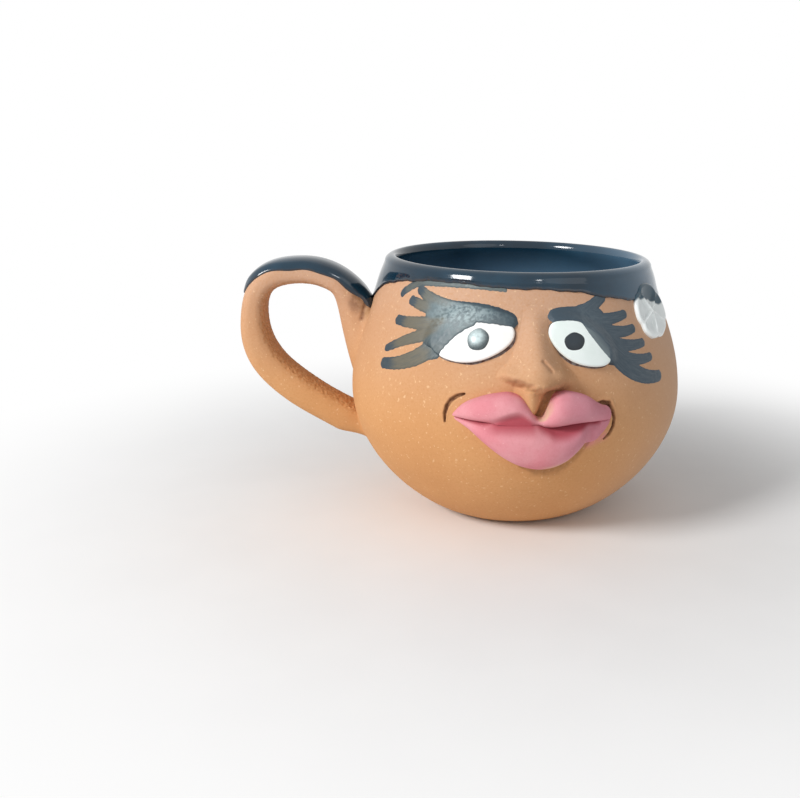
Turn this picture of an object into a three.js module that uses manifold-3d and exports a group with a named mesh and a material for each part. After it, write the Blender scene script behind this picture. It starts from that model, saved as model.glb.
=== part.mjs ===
// A round-bellied clay cup with a modelled comic face, a strap handle and a dark glazed lining.
// Millimetres, +Z up. The origin is the middle of the flat base, on the cup's axis.
// The face looks along -Y and the handle stands out along -X. A "turn" is an angle round the
// axis from the middle of the face, positive towards +X, away from the handle.

import * as THREE from "three";
import { mergeVertices } from "three/addons/utils/BufferGeometryUtils.js";
import { TessellateModifier } from "three/addons/modifiers/TessellateModifier.js";
import Module from "manifold-3d";

// Cup wall: one curve from the base to the belly and one from the belly to the rim.
const cupHeight = 60;
const baseRadius = 17;
const baseFlareAngle = 17;
const baseFlareReach = 9.6;
const bellyRadius = 39;
const bellyShare = 0.4833;
const bellyHeight = cupHeight * bellyShare;
const bellyEaseBelow = 14;
const bellyEaseAbove = 11;
const rimRadius = 30.35;
const rimLeanAngle = 22;
const rimLeanReach = 9.7;
const wallThickness = 3.4;
const floorThickness = 4;
const floorRadius = 14;
const lipThickness = 2.2;

// Glaze: the lining, the lip and a band outside whose edge rises and dips round the cup.
const glazeThickness = 0.6;
const glazeBandDepth = 3.1;
const glazeEdgeHeight = cupHeight - glazeBandDepth;
const glazeEdgeDip = 5;
const glazeEdgeTurn = -18;

// Every applied piece keeps this seat to what carries it.
const seatGap = 0.3;

// Handle: an oval strap from a high root over a crest and round to a low root.
const handleWidth = 10.8;
const handleThickness = 5.6;
const handleLowerThickness = 8;
const handleUpperFlareRatio = 1.8;
const handleLowerFlareRatio = 1.25;
const handleRootDepth = 3.4;
const handleShoulder = 6;
const handleUpperShare = 0.57;
const handleUpperHeight = cupHeight * handleUpperShare;
const handleUpperAngle = 76;
const handleUpperEase = 13;
const handleCrestReach = 14.7;
const handleCrestRise = 21.4;
const handleCrestEase = 7.5;
const handleOuterReach = 22.2;
const handleOuterRise = 10.2;
const handleOuterHeight = handleUpperHeight + handleOuterRise;
const handleOuterEaseAbove = 8.5;
const handleOuterEaseBelow = 11.5;
const handleLowerShare = 0.295;
const handleLowerHeight = cupHeight * handleLowerShare;
const handleLowerAngle = 34;
const handleLowerEase = 20;
const handleGlazeShare = 0.46;
const handleGlazeWrapAngle = 92;

// The eyes and brush strokes are drawn in hundredths of the cup's height, so they grow with it.
const faceUnit = cupHeight / 100;

// Eyes: flat white slip discs with a pupil each, placed across and above the eye line.
const eyeLineShare = 0.7833;
const eyeLineHeight = cupHeight * eyeLineShare;
const eyeThickness = 1.1;
const pupilThickness = 0.5;
const slipThickness = 0.5;
const lidInset = 0.4;
const eyes = {
  handle_side: { middle: [-21.7, 0.2], half: [15, 8.3], tilt: 9.5, pupil: 3.8, look: [2.2, -0.8] },
  flower_side: { middle: [16.2, -1.8], half: [12.5, 7], tilt: -28, pupil: 3.5, look: [-2.7, 1.5] },
};

// Brushed strokes of the brow, lid and lashes: start, bend and tip as places across and above
// the middle of the eye line, with the width of the brush at the start and at the tip.
const strokes = {
  handle_side: [
    { from: [-8.7, 6.5], bend: [-20, 11], to: [-38.3, 7.7], wide: [5, 9.3] },
    { from: [-23, 8], bend: [-30.7, 4], to: [-35.7, -4], wide: [7, 7.7] },
    { from: [-33.3, 10.3], bend: [-48.3, 14.3], to: [-57, 11.7], wide: [4, 2.8] },
    { from: [-33.3, 8.3], bend: [-43.3, 9.3], to: [-50.7, 9.3], wide: [5.7, 3.2] },
    { from: [-33.3, 4], bend: [-44.2, 2], to: [-54.7, 2.2], wide: [5.7, 3.5] },
    { from: [-34.3, 0.7], bend: [-45, -2], to: [-56.3, -8], wide: [5.3, 3.3] },
    { from: [-34.7, -3.7], bend: [-42.3, -11.7], to: [-56, -13.3], wide: [7, 4.3] },
  ],
  flower_side: [
    { from: [8.2, 8.2], bend: [15.7, 9.7], to: [25, 7], wide: [4.8, 6.3] },
    { from: [17, 8.7], bend: [25, 1.8], to: [31.3, -5.3], wide: [6.3, 10] },
    { from: [18.3, 8.7], bend: [24.3, 10.7], to: [28.7, 12.7], wide: [5, 4] },
    { from: [25, 6], bend: [31.7, 5.7], to: [38.3, 6.7], wide: [5.3, 3.3] },
    { from: [28.3, 2], bend: [35, 0.7], to: [41.3, 1.5], wide: [5.3, 3.3] },
    { from: [31, -2.7], bend: [37.7, -4.3], to: [44.7, -3.8], wide: [5.3, 3.3] },
    { from: [32.3, -7], bend: [40, -10], to: [47.3, -9.2], wide: [5.3, 3.3] },
    { from: [31, -9], bend: [37.7, -16.7], to: [50.7, -16.7], wide: [7, 4.7] },
  ],
};

// Lips: two rolls either side of the mouth line, the upper one with a deep bow in its middle.
const mouthShare = 0.51;
const mouthHeight = cupHeight * mouthShare;
const mouthHalfWidth = 17.2;
const mouthDip = 1.2;
const mouthDipWidth = 5;
const lipParting = 0.35;
const lipEdge = 0.5;
const upperLipRise = 5.6;
const upperLipLift = 4.8;
const bowDepth = 4.6;
const bowHalfWidth = 3.2;
const lowerLipDrop = 7.5;
const lowerLipRoundPower = 1.25;
const lowerLipLift = 5.2;

// Nose: from the bridge above the eye line down to just over the upper lip. Its sections give
// shares of its length from the top, of its width and of its lift off the wall.
const noseAboveEyes = 4.6;
const noseClearance = 0.4;
const noseWidth = 11.8;
const noseLift = 6;
const noseTopHeight = eyeLineHeight + noseAboveEyes;
const noseFootHeight = mouthHeight + lipParting / 2 + lipEdge + upperLipRise + noseClearance;
const noseSections = [
  [0, 0.27, 0.08],
  [0.25, 0.34, 0.32],
  [0.52, 0.53, 0.68],
  [0.71, 0.83, 1],
  [0.85, 1, 0.93],
  [0.94, 0.93, 0.57],
  [1, 0.71, 0.2],
];

// Flower: five petals pressed from one button of clay beside the rim.
const flowerTurn = 53.9;
const flowerBelowRim = 9.8;
const flowerHeight = cupHeight - flowerBelowRim;
const flowerRadius = 6;
const flowerThickness = 2.6;
const petalCount = 5;
const petalNotchShare = 0.16;
const petalCreaseShare = 0.45;

// Facets
const turnSegments = 48;
const wallSteps = 6;
const sectionSides = 16;
const slipFacet = 3.2;

const wasm = await Module();
wasm.setup();

const radians = THREE.MathUtils.degToRad;
const fullTurn = Math.PI * 2;
const glazeReach = seatGap + glazeThickness;
const clayTop = cupHeight - glazeReach;

// Geometry helpers

function weld(geometry) {
  const plain = new THREE.BufferGeometry();
  plain.setAttribute("position", geometry.attributes.position);
  plain.setIndex(geometry.index);
  const welded = mergeVertices(plain, 1e-4);
  const index = welded.index.array;
  const kept = [];
  for (let at = 0; at < index.length; at += 3) {
    const [a, b, c] = index.slice(at, at + 3);
    if (a !== b && b !== c && c !== a) kept.push(a, b, c);
  }
  welded.setIndex(kept);
  return welded;
}

function solidOf(geometry) {
  const welded = weld(geometry);
  return new wasm.Manifold(new wasm.Mesh({
    numProp: 3,
    vertProperties: Float32Array.from(welded.attributes.position.array),
    triVerts: Uint32Array.from(welded.index.array),
  }));
}

function geometryOf(solid) {
  const pieces = solid.decompose();
  pieces.sort((one, other) => other.volume() - one.volume());
  const mesh = pieces[0].getMesh();
  const geometry = new THREE.BufferGeometry();
  geometry.setAttribute("position", new THREE.BufferAttribute(Float32Array.from(mesh.vertProperties), 3));
  geometry.setIndex(Array.from(mesh.triVerts));
  return geometry;
}

function meshFrom(points, triangles) {
  const geometry = new THREE.BufferGeometry();
  geometry.setFromPoints(points);
  geometry.setIndex(triangles);
  return geometry;
}

// Two triangles for each cell between one row of points and the next.
function stripBetween(first, second, count) {
  const triangles = [];
  for (let side = 0; side < count; side += 1) {
    const next = (side + 1) % count;
    triangles.push(first + side, first + next, second + side);
    triangles.push(first + next, second + next, second + side);
  }
  return triangles;
}

function fan(centre, first, count, facesForward) {
  const triangles = [];
  for (let side = 0; side < count; side += 1) {
    const pair = [first + side, first + ((side + 1) % count)];
    triangles.push(centre, ...(facesForward ? pair : pair.reverse()));
  }
  return triangles;
}

// A closed solid through rings of points that turn right-handed about the way they run.
function loft(rings) {
  const count = rings[0].length;
  const sumOf = (ring) => ring.reduce((sum, point) => sum.add(point), new THREE.Vector3());
  const centreOf = (ring) => sumOf(ring).divideScalar(count);
  const points = [...rings.flat(), centreOf(rings[0]), centreOf(rings.at(-1))];
  const last = (rings.length - 1) * count;
  const triangles = fan(rings.length * count, 0, count, false);
  for (let ring = 0; ring < last; ring += count) triangles.push(...stripBetween(ring, ring + count, count));
  triangles.push(...fan(rings.length * count + 1, last, count, true));
  return meshFrom(points, triangles);
}

// A solid turned about the axis, from a profile that may change with the turn.
function revolve(profileAt) {
  const rows = [];
  for (let step = 0; step < turnSegments; step += 1) {
    const turn = (step / turnSegments) * fullTurn;
    const turned = ({ x, y }) => new THREE.Vector3(x * Math.sin(turn), -x * Math.cos(turn), y);
    rows.push(profileAt(turn).map(turned));
  }
  const count = rows[0].length;
  const triangles = [];
  for (let row = 0; row < turnSegments; row += 1) {
    const here = row * count;
    const next = ((row + 1) % turnSegments) * count;
    for (let at = 0; at < count - 1; at += 1) {
      triangles.push(here + at, next + at, here + at + 1);
      triangles.push(next + at, next + at + 1, here + at + 1);
    }
  }
  return weld(meshFrom(rows.flat(), triangles));
}

// A flat-backed pad round a middle point: its edge and its lift are given by angle and ring.
function pad(edgeAt, liftAt, sides, ringShares) {
  const points = [];
  const ringOf = (share, lifted) => {
    for (let side = 0; side < sides; side += 1) {
      const angle = (side / sides) * fullTurn;
      const edge = edgeAt(angle).multiplyScalar(share);
      points.push(new THREE.Vector3(edge.x, edge.y, lifted ? liftAt(angle, share) : 0));
    }
  };
  const back = [...ringShares];
  back.forEach((share) => ringOf(share, false));
  back.reverse().forEach((share) => ringOf(share, true));
  const rings = ringShares.length * 2;
  const triangles = fan(rings * sides, 0, sides, false);
  for (let ring = 0; ring < rings - 1; ring += 1) {
    triangles.push(...stripBetween(ring * sides, (ring + 1) * sides, sides));
  }
  triangles.push(...fan(rings * sides + 1, (rings - 1) * sides, sides, true));
  points.push(new THREE.Vector3(0, 0, 0), new THREE.Vector3(0, 0, liftAt(0, 0)));
  return meshFrom(points, triangles);
}

// Cup wall

function wallCurves(base, belly, rim) {
  const flare = radians(baseFlareAngle);
  const lean = radians(rimLeanAngle);
  const lower = new THREE.CubicBezierCurve(
    base,
    new THREE.Vector2(base.x + baseFlareReach * Math.cos(flare), base.y + baseFlareReach * Math.sin(flare)),
    new THREE.Vector2(belly.x, belly.y - bellyEaseBelow),
    belly,
  );
  const upper = new THREE.CubicBezierCurve(
    belly,
    new THREE.Vector2(belly.x, belly.y + bellyEaseAbove),
    new THREE.Vector2(rim.x + rimLeanReach * Math.sin(lean), rim.y - rimLeanReach * Math.cos(lean)),
    rim,
  );
  return { lower, upper };
}

const lipRadius = lipThickness / 2;
const lipCentre = new THREE.Vector2(rimRadius - lipRadius, clayTop - lipRadius);
const outside = wallCurves(
  new THREE.Vector2(baseRadius, 0),
  new THREE.Vector2(bellyRadius, bellyHeight),
  new THREE.Vector2(rimRadius, lipCentre.y),
);
const inside = wallCurves(
  new THREE.Vector2(floorRadius, floorThickness),
  new THREE.Vector2(bellyRadius - wallThickness, bellyHeight),
  new THREE.Vector2(rimRadius - lipThickness, lipCentre.y),
);

// The point of the outer wall at a height, with its outward normal, both in the turning plane.
function wallAt(height) {
  const curve = height < bellyHeight ? outside.lower : outside.upper;
  let low = 0;
  let high = 1;
  for (let halving = 0; halving < 40; halving += 1) {
    const middle = (low + high) / 2;
    if (curve.getPoint(middle).y < height) low = middle;
    else high = middle;
  }
  const along = curve.getTangent(low);
  return { point: curve.getPoint(low), normal: new THREE.Vector2(along.y, -along.x) };
}

// A curve's points moved square to it, outwards where the reach is positive.
function offsetPoints(curve, reach, steps) {
  const points = [];
  for (let step = 0; step <= steps; step += 1) {
    const along = curve.getTangent(step / steps);
    const outward = new THREE.Vector2(along.y, -along.x);
    points.push(curve.getPoint(step / steps).addScaledVector(outward, reach));
  }
  return points;
}

function lipPoints(reach) {
  const lip = new THREE.EllipseCurve(
    lipCentre.x, lipCentre.y, lipRadius + reach, lipRadius + reach, radians(15), radians(165),
  );
  return lip.getPoints(wallSteps - 2);
}

// A wall's points from its base to its rim, moved square to it by a reach.
function wallPoints({ lower, upper }, reach) {
  return [...offsetPoints(lower, reach, wallSteps), ...offsetPoints(upper, reach, wallSteps).slice(1)];
}

// The hollow of the cup from the lip down to the axis, drawn in by a reach.
function hollowPoints(reach) {
  return [...wallPoints(inside, -reach).reverse(), new THREE.Vector2(0, floorThickness + reach)];
}

function cupBody() {
  const profile = [new THREE.Vector2(0, 0), ...wallPoints(outside, 0), ...lipPoints(0), ...hollowPoints(0)];
  return revolve(() => profile);
}

// The whole outer form as a plain solid, grown by a reach, to cut what is stuck on the wall.
function cupCutter(reach) {
  const wall = wallPoints(outside, reach);
  const profile = [new THREE.Vector2(0, wall[0].y), ...wall, new THREE.Vector2(0, wall.at(-1).y)];
  return solidOf(revolve(() => profile));
}

// Turns a flat piece (x across, y up, z off the wall) into one that follows the wall.
function wrapOnWall(geometry, middle) {
  const reference = wallAt(middle.height).point.x;
  const place = geometry.attributes.position;
  for (let at = 0; at < place.count; at += 1) {
    const turn = middle.turn + place.getX(at) / reference;
    const { point, normal } = wallAt(middle.height + place.getY(at));
    const lift = middle.lift + place.getZ(at);
    const radius = point.x + normal.x * lift;
    place.setXYZ(at, radius * Math.sin(turn), -radius * Math.cos(turn), point.y + normal.y * lift);
  }
  return geometry;
}

// Handle

function handlePath() {
  const inPlane = (out, up) => new THREE.Vector3(-out, 0, up);
  const away = (from, angle, reach) => inPlane(
    -from.x + reach * Math.cos(radians(angle)),
    from.z + reach * Math.sin(radians(angle)),
  );
  const upperRoot = inPlane(wallAt(handleUpperHeight).point.x - handleRootDepth, handleUpperHeight);
  const lowerRoot = inPlane(wallAt(handleLowerHeight).point.x - handleRootDepth, handleLowerHeight);
  const crest = inPlane(-upperRoot.x + handleCrestReach, handleUpperHeight + handleCrestRise);
  const outer = inPlane(bellyRadius + handleOuterReach, handleOuterHeight);
  const path = new THREE.CurvePath();
  path.add(new THREE.CubicBezierCurve3(
    upperRoot,
    away(upperRoot, handleUpperAngle, handleUpperEase),
    away(crest, 180, handleCrestEase),
    crest,
  ));
  path.add(new THREE.CubicBezierCurve3(
    crest,
    away(crest, 0, handleCrestEase),
    away(outer, 90, handleOuterEaseAbove),
    outer,
  ));
  path.add(new THREE.CubicBezierCurve3(
    outer,
    away(outer, -90, handleOuterEaseBelow),
    away(lowerRoot, handleLowerAngle, handleLowerEase),
    lowerRoot,
  ));
  return path;
}

const strapPath = handlePath();

// The strap's axes at a share of its length. It is thicker in its lower half, wider where it runs
// into the wall and built up with clay on its outer side at the upper root.
function strapAt(share) {
  const centre = strapPath.getPointAt(share);
  const along = strapPath.getTangentAt(share);
  const out = new THREE.Vector3(0, 1, 0).cross(along).normalize();
  const side = along.clone().cross(out);
  const nearRoot = Math.abs(2 * share - 1) ** 7;
  const flareRatio = share < 0.5 ? handleUpperFlareRatio : handleLowerFlareRatio;
  const grow = 1 + (flareRatio - 1) * nearRoot;
  const lower = THREE.MathUtils.smoothstep(share, 0.45, 0.7);
  const halfThickness = (THREE.MathUtils.lerp(handleThickness, handleLowerThickness, lower) / 2) * grow;
  const halfWidth = (handleWidth / 2) * grow;
  const outerThickness = halfThickness + handleShoulder * (1 - share) ** 8;
  return { centre, out, side, halfThickness, outerThickness, halfWidth };
}

function strapPoint({ centre, out, side, halfThickness, outerThickness, halfWidth }, angle, reach) {
  const thickness = Math.cos(angle) > 0 ? outerThickness : halfThickness;
  return centre.clone()
    .addScaledVector(out, (thickness + reach) * Math.cos(angle))
    .addScaledVector(side, (halfWidth + reach) * Math.sin(angle));
}

function strap(reach) {
  const rings = [];
  const stations = 30;
  for (let station = 0; station <= stations; station += 1) {
    const axes = strapAt(station / stations);
    rings.push(Array.from({ length: sectionSides }, (_, side) => (
      strapPoint(axes, (side / sectionSides) * fullTurn, reach)
    )));
  }
  return solidOf(loft(rings));
}

// The glaze that ran over the top of the strap: a crescent that narrows to a round end.
function strapGlaze() {
  const rings = [];
  const stations = 16;
  const sides = 8;
  const shortest = 0.18;
  for (let station = 0; station <= stations; station += 1) {
    const share = station / stations;
    const axes = strapAt(share * handleGlazeShare);
    const wrap = radians(handleGlazeWrapAngle) * Math.max(shortest, Math.sqrt(1 - share ** 3));
    const angleOf = (side) => wrap * ((2 * side) / sides - 1);
    const ring = [];
    for (let side = 0; side <= sides; side += 1) ring.push(strapPoint(axes, angleOf(side), glazeReach));
    for (let side = sides; side >= 0; side -= 1) ring.push(strapPoint(axes, angleOf(side), seatGap));
    rings.push(ring);
  }
  return solidOf(loft(rings));
}

// Lining glaze

function glazeEdge(turn) {
  return glazeEdgeHeight - glazeEdgeDip * Math.sin(turn - radians(glazeEdgeTurn)) ** 2;
}

function glazeLining() {
  const bandSteps = 3;
  const bandPoints = (edge, reach) => Array.from({ length: bandSteps }, (_, step) => {
    const { point, normal } = wallAt(edge + ((lipCentre.y - edge) * step) / bandSteps);
    return point.clone().addScaledVector(normal, reach);
  });
  return revolve((turn) => {
    const edge = glazeEdge(turn);
    const under = [...bandPoints(edge, seatGap), ...lipPoints(seatGap), ...hollowPoints(seatGap)];
    const over = [...bandPoints(edge, glazeReach), ...lipPoints(glazeReach), ...hollowPoints(glazeReach)];
    return [...under.reverse(), ...over];
  });
}

// Eyes, lids and lashes

// A place of the drawn face in millimetres across and above the eye line.
function drawn([across, up]) {
  return new THREE.Vector2(across, up).multiplyScalar(faceUnit);
}

function circle(radius) {
  return (angle) => new THREE.Vector2(radius * Math.cos(angle), radius * Math.sin(angle));
}

function eyeEdge(eye, grow) {
  const half = drawn(eye.half).addScalar(grow);
  const tilt = radians(eye.tilt);
  return (angle) => new THREE.Vector2(half.x * Math.cos(angle), half.y * Math.sin(angle))
    .rotateAround(new THREE.Vector2(), tilt);
}

function eyeMiddle(eye, lift) {
  const reference = wallAt(eyeLineHeight).point.x;
  const middle = drawn(eye.middle);
  return { turn: middle.x / reference, height: eyeLineHeight + middle.y, lift };
}

function eyeDisc(eye) {
  const rounded = (angle, share) => eyeThickness * (1 - 0.4 * share ** 8);
  return wrapOnWall(pad(eyeEdge(eye, 0), rounded, 28, [0.4, 0.8, 1]), eyeMiddle(eye, seatGap));
}

function pupil(eye) {
  const domed = (angle, share) => pupilThickness * (1 - 0.5 * share ** 4);
  const flat = pad(circle(eye.pupil * faceUnit), domed, 16, [0.5, 1]);
  const look = drawn(eye.look);
  flat.translate(look.x, look.y, 0);
  return wrapOnWall(flat, eyeMiddle(eye, eyeThickness + 2 * seatGap));
}

function strokeShape({ from, bend, to, wide }) {
  const line = new THREE.QuadraticBezierCurve(drawn(from), drawn(bend), drawn(to));
  const [rootHalf, tipHalf] = wide.map((width) => (width * faceUnit) / 2);
  const steps = 6;
  const capSteps = 4;
  const left = [];
  const right = [];
  for (let step = 0; step <= steps; step += 1) {
    const share = step / steps;
    const along = line.getTangent(share);
    const half = THREE.MathUtils.lerp(rootHalf, tipHalf, share);
    const across = new THREE.Vector2(-along.y, along.x).multiplyScalar(half);
    left.push(line.getPoint(share).add(across));
    right.push(line.getPoint(share).sub(across));
  }
  const roundEnd = (end, half, start) => Array.from({ length: capSteps - 1 }, (_, step) => {
    const angle = start - (Math.PI * (step + 1)) / capSteps;
    return new THREE.Vector2(end.x + half * Math.cos(angle), end.y + half * Math.sin(angle));
  });
  const leaving = line.getTangent(1).angle();
  const coming = line.getTangent(0).angle();
  const tip = roundEnd(line.getPoint(1), tipHalf, leaving + Math.PI / 2);
  const root = roundEnd(line.getPoint(0), rootHalf, coming - Math.PI / 2);
  return new THREE.Shape([...left, ...tip, ...right.reverse(), ...root]);
}

function flatSlab(shape, depth) {
  return solidOf(new THREE.ExtrudeGeometry(shape, { depth, bevelEnabled: false }));
}

// All strokes of one side joined while they are still flat.
function brushwork(side) {
  const slabs = strokes[side].map((stroke) => flatSlab(strokeShape(stroke), slipThickness));
  return slabs.reduce((joined, slab) => joined.add(slab));
}

// A flat cutter taller than the slip on both sides, from the corners of its outline.
function slipCutter(corners) {
  return flatSlab(new THREE.Shape(corners), 3 * slipThickness).translate([0, 0, -slipThickness]);
}

function outlineCutter(edgeAt, middle) {
  const sides = 32;
  return slipCutter(Array.from({ length: sides }, (_, side) => (
    edgeAt((side / sides) * fullTurn).add(middle)
  )));
}

function eyeCutter(eye, grow) {
  return outlineCutter(eyeEdge(eye, grow), drawn(eye.middle));
}

function pupilCutter(eye) {
  const middle = drawn(eye.middle).add(drawn(eye.look));
  return outlineCutter(circle(eye.pupil * faceUnit + seatGap), middle);
}

// Everything above the edge of the glaze band, where the slip runs out under the glaze.
function glazeCutter() {
  const reference = wallAt(eyeLineHeight).point.x;
  const steps = 24;
  const halfTurn = Math.PI / 2;
  const edge = Array.from({ length: steps + 1 }, (_, step) => {
    const turn = halfTurn * ((2 * step) / steps - 1);
    return new THREE.Vector2(turn * reference, glazeEdge(turn) - seatGap - eyeLineHeight);
  });
  const above = cupHeight - eyeLineHeight;
  return slipCutter([
    ...edge,
    new THREE.Vector2(halfTurn * reference, above),
    new THREE.Vector2(-halfTurn * reference, above),
  ]);
}

function wrapSlip(solid, lift) {
  const facets = new TessellateModifier(slipFacet, 12).modify(geometryOf(solid));
  return weld(wrapOnWall(facets, { turn: 0, height: eyeLineHeight, lift }));
}

function lashes(side) {
  const onWall = brushwork(side).subtract(eyeCutter(eyes[side], seatGap)).subtract(glazeCutter());
  return wrapSlip(onWall, seatGap);
}

function lid(side) {
  const onDisc = brushwork(side).intersect(eyeCutter(eyes[side], -lidInset));
  return wrapSlip(onDisc.subtract(pupilCutter(eyes[side])), eyeThickness + 2 * seatGap);
}

// Nose and lips

// Half an oval standing on the wall, from one foot to the other, with its back along the wall.
function ridgeRing(foot, otherFoot, lift, fullness) {
  const over = 8;
  const backs = 4;
  const ring = [];
  for (let step = 0; step <= over; step += 1) {
    const angle = (Math.PI * step) / over;
    const place = foot.clone().lerp(otherFoot, (1 - Math.cos(angle)) / 2);
    ring.push(new THREE.Vector3(place.x, place.y, lift * Math.sin(angle) ** fullness));
  }
  for (let step = 1; step < backs; step += 1) {
    const place = otherFoot.clone().lerp(foot, step / backs);
    ring.push(new THREE.Vector3(place.x, place.y, 0));
  }
  return ring;
}

// The nose, or with a growth the room that its neighbours leave it.
function nose(grow) {
  const length = noseTopHeight - noseFootHeight;
  const curve = new THREE.CatmullRomCurve3(noseSections.map(([down, wide, high]) => (
    new THREE.Vector3((noseWidth * wide) / 2, -length * down, noseLift * high)
  )));
  const steps = 14;
  const rings = [];
  for (let step = 0; step <= steps; step += 1) {
    const section = curve.getPoint(step / steps);
    const below = step === steps ? grow : 0;
    const right = new THREE.Vector2(section.x + grow, section.y - below);
    const left = new THREE.Vector2(-right.x, right.y);
    rings.push(ridgeRing(right, left, section.z + grow, 0.8));
  }
  return wrapOnWall(loft(rings), { turn: 0, height: noseTopHeight, lift: seatGap - grow });
}

function mouthLine(across) {
  return -mouthDip * Math.exp(-((across / mouthDipWidth) ** 2));
}

function bow(across) {
  const share = Math.min(1, Math.abs(across) / bowHalfWidth);
  return bowDepth * (1 - share ** 2) ** 2;
}

// A lip swept from corner to corner, given the heights of its two edges and its lift.
function lip(footAt, headAt, lift) {
  const steps = 28;
  const rings = [];
  for (let step = 0; step <= steps; step += 1) {
    const share = (2 * step) / steps - 1;
    const across = share * mouthHalfWidth;
    const full = lift * (0.15 + 0.85 * Math.sqrt(1 - Math.abs(share) ** 2.5));
    const foot = new THREE.Vector2(across, footAt(across, Math.abs(share)));
    const head = new THREE.Vector2(across, headAt(across, Math.abs(share)));
    rings.push(ridgeRing(head, foot, full, 0.65));
  }
  return wrapOnWall(loft(rings), { turn: 0, height: mouthHeight, lift: seatGap });
}

function upperLip() {
  const foot = (across) => mouthLine(across) + lipParting / 2;
  const head = (across, share) => lipParting / 2 + lipEdge + upperLipRise * (1 - share ** 4) - bow(across);
  return geometryOf(solidOf(lip(foot, head, upperLipLift)).subtract(solidOf(nose(seatGap))));
}

function lowerLip() {
  const head = (across) => mouthLine(across) - lipParting / 2;
  const hang = (share) => Math.max(0, Math.cos((Math.PI * share) / 2)) ** lowerLipRoundPower;
  const foot = (across, share) => head(across) - lipEdge - lowerLipDrop * hang(share);
  return lip(foot, head, lowerLipLift);
}

// Flower

const flowerMiddle = { turn: radians(flowerTurn), height: flowerHeight };

// The round seat that the glaze leaves free for the flower.
function flowerSeat() {
  const plug = pad(circle(flowerRadius + seatGap), () => flowerThickness, petalCount * 8, [0.3, 0.65, 1]);
  return solidOf(wrapOnWall(plug, { ...flowerMiddle, lift: 0 }));
}

function flower() {
  const petal = (angle) => Math.abs(Math.sin((petalCount * angle) / 2));
  const edge = (angle) => {
    const reach = flowerRadius * (1 - petalNotchShare * (1 - petal(angle) ** 0.6));
    return new THREE.Vector2(reach * Math.cos(angle), reach * Math.sin(angle));
  };
  const pressed = (angle, share) => {
    const crease = petalCreaseShare * (1 - petal(angle) ** 0.5) * Math.min(1, 1.6 * share);
    return flowerThickness * (0.72 + 0.28 * Math.sin(Math.PI * share) - 0.34 * share ** 6) * (1 - crease);
  };
  const flat = pad(edge, pressed, petalCount * 8, [0.25, 0.55, 0.82, 1]);
  return wrapOnWall(flat, { ...flowerMiddle, lift: seatGap });
}

// Finishes and assembly

const finishes = {
  clay: { color: 0xc08157, roughness: 0.9, metalness: 0 },
  glaze: { color: 0x10131c, roughness: 0.12, metalness: 0 },
  white: { color: 0xdad9d6, roughness: 0.6, metalness: 0 },
  petal: { color: 0xe0dbd6, roughness: 0.3, metalness: 0 },
  black: { color: 0x23252a, roughness: 0.5, metalness: 0 },
  pupil: { color: 0x14161a, roughness: 0.25, metalness: 0 },
  rose: { color: 0xc2626d, roughness: 0.85, metalness: 0 },
};

const group = new THREE.Group();

function place(name, geometry, finish) {
  geometry.computeVertexNormals();
  const mesh = new THREE.Mesh(geometry, new THREE.MeshStandardMaterial(finishes[finish]));
  mesh.name = name;
  group.add(mesh);
}

const wallCutter = cupCutter(seatGap);
const strapRoom = strap(glazeReach + seatGap).subtract(cupCutter(0));
const lining = solidOf(glazeLining()).subtract(strapRoom).subtract(flowerSeat());

place("cup_body", cupBody(), "clay");
place("handle", geometryOf(strap(0).subtract(wallCutter)), "clay");
place("glaze_lining", geometryOf(lining), "glaze");
place("handle_glaze", geometryOf(strapGlaze().subtract(wallCutter)), "glaze");
for (const side of Object.keys(eyes)) {
  place(`${side}_eye`, eyeDisc(eyes[side]), "white");
  place(`${side}_pupil`, pupil(eyes[side]), "pupil");
  place(`${side}_lid`, lid(side), "black");
  place(`${side}_lashes`, lashes(side), "black");
}
place("nose", nose(0), "clay");
place("upper_lip", upperLip(), "rose");
place("lower_lip", lowerLip(), "rose");
place("flower", flower(), "petal");

export default group;
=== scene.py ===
"""Dresses a hand-made clay cup with a modelled face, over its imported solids.

Lengths are millimetres inside the classes and become metres when a mesh is shaped. The axis of the
cup is Z, the face looks along -Y and the handle stands out along -X. A turn is an angle round the
axis from the middle of the face, positive towards +X. A lift is a height square to the wall.
"""

import logging
import math
from dataclasses import dataclass
from enum import Enum
from typing import Dict, List, Optional, Sequence, Tuple, Union

import bpy
import numpy as np
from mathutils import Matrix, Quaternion, Vector


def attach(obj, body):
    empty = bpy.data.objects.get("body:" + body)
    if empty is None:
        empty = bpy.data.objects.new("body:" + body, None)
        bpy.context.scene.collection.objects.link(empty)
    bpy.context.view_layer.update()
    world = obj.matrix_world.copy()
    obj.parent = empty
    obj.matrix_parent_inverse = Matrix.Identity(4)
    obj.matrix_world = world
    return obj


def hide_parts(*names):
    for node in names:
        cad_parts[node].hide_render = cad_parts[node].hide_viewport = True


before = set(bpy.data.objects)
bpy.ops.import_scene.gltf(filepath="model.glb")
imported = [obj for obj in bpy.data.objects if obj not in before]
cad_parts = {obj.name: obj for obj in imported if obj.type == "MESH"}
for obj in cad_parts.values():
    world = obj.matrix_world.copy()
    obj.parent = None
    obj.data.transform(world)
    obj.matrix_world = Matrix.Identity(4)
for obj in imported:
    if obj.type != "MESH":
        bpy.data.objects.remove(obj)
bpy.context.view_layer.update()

MM = 0.001
WELD_GAP = 2e-6
SMOOTH_ANGLE = math.radians(60.0)
BODY = "root"
WHITE = (1.0, 1.0, 1.0, 1.0)

Array = np.ndarray
Pair = Tuple[float, float]
Triple = Tuple[float, float, float]
Line = Union[np.ndarray, Sequence[Pair]]
Colour = Triple
Material = bpy.types.Material
Piece = bpy.types.Object
Socket = bpy.types.NodeSocket

log = logging.getLogger("clay_cup")


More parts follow.
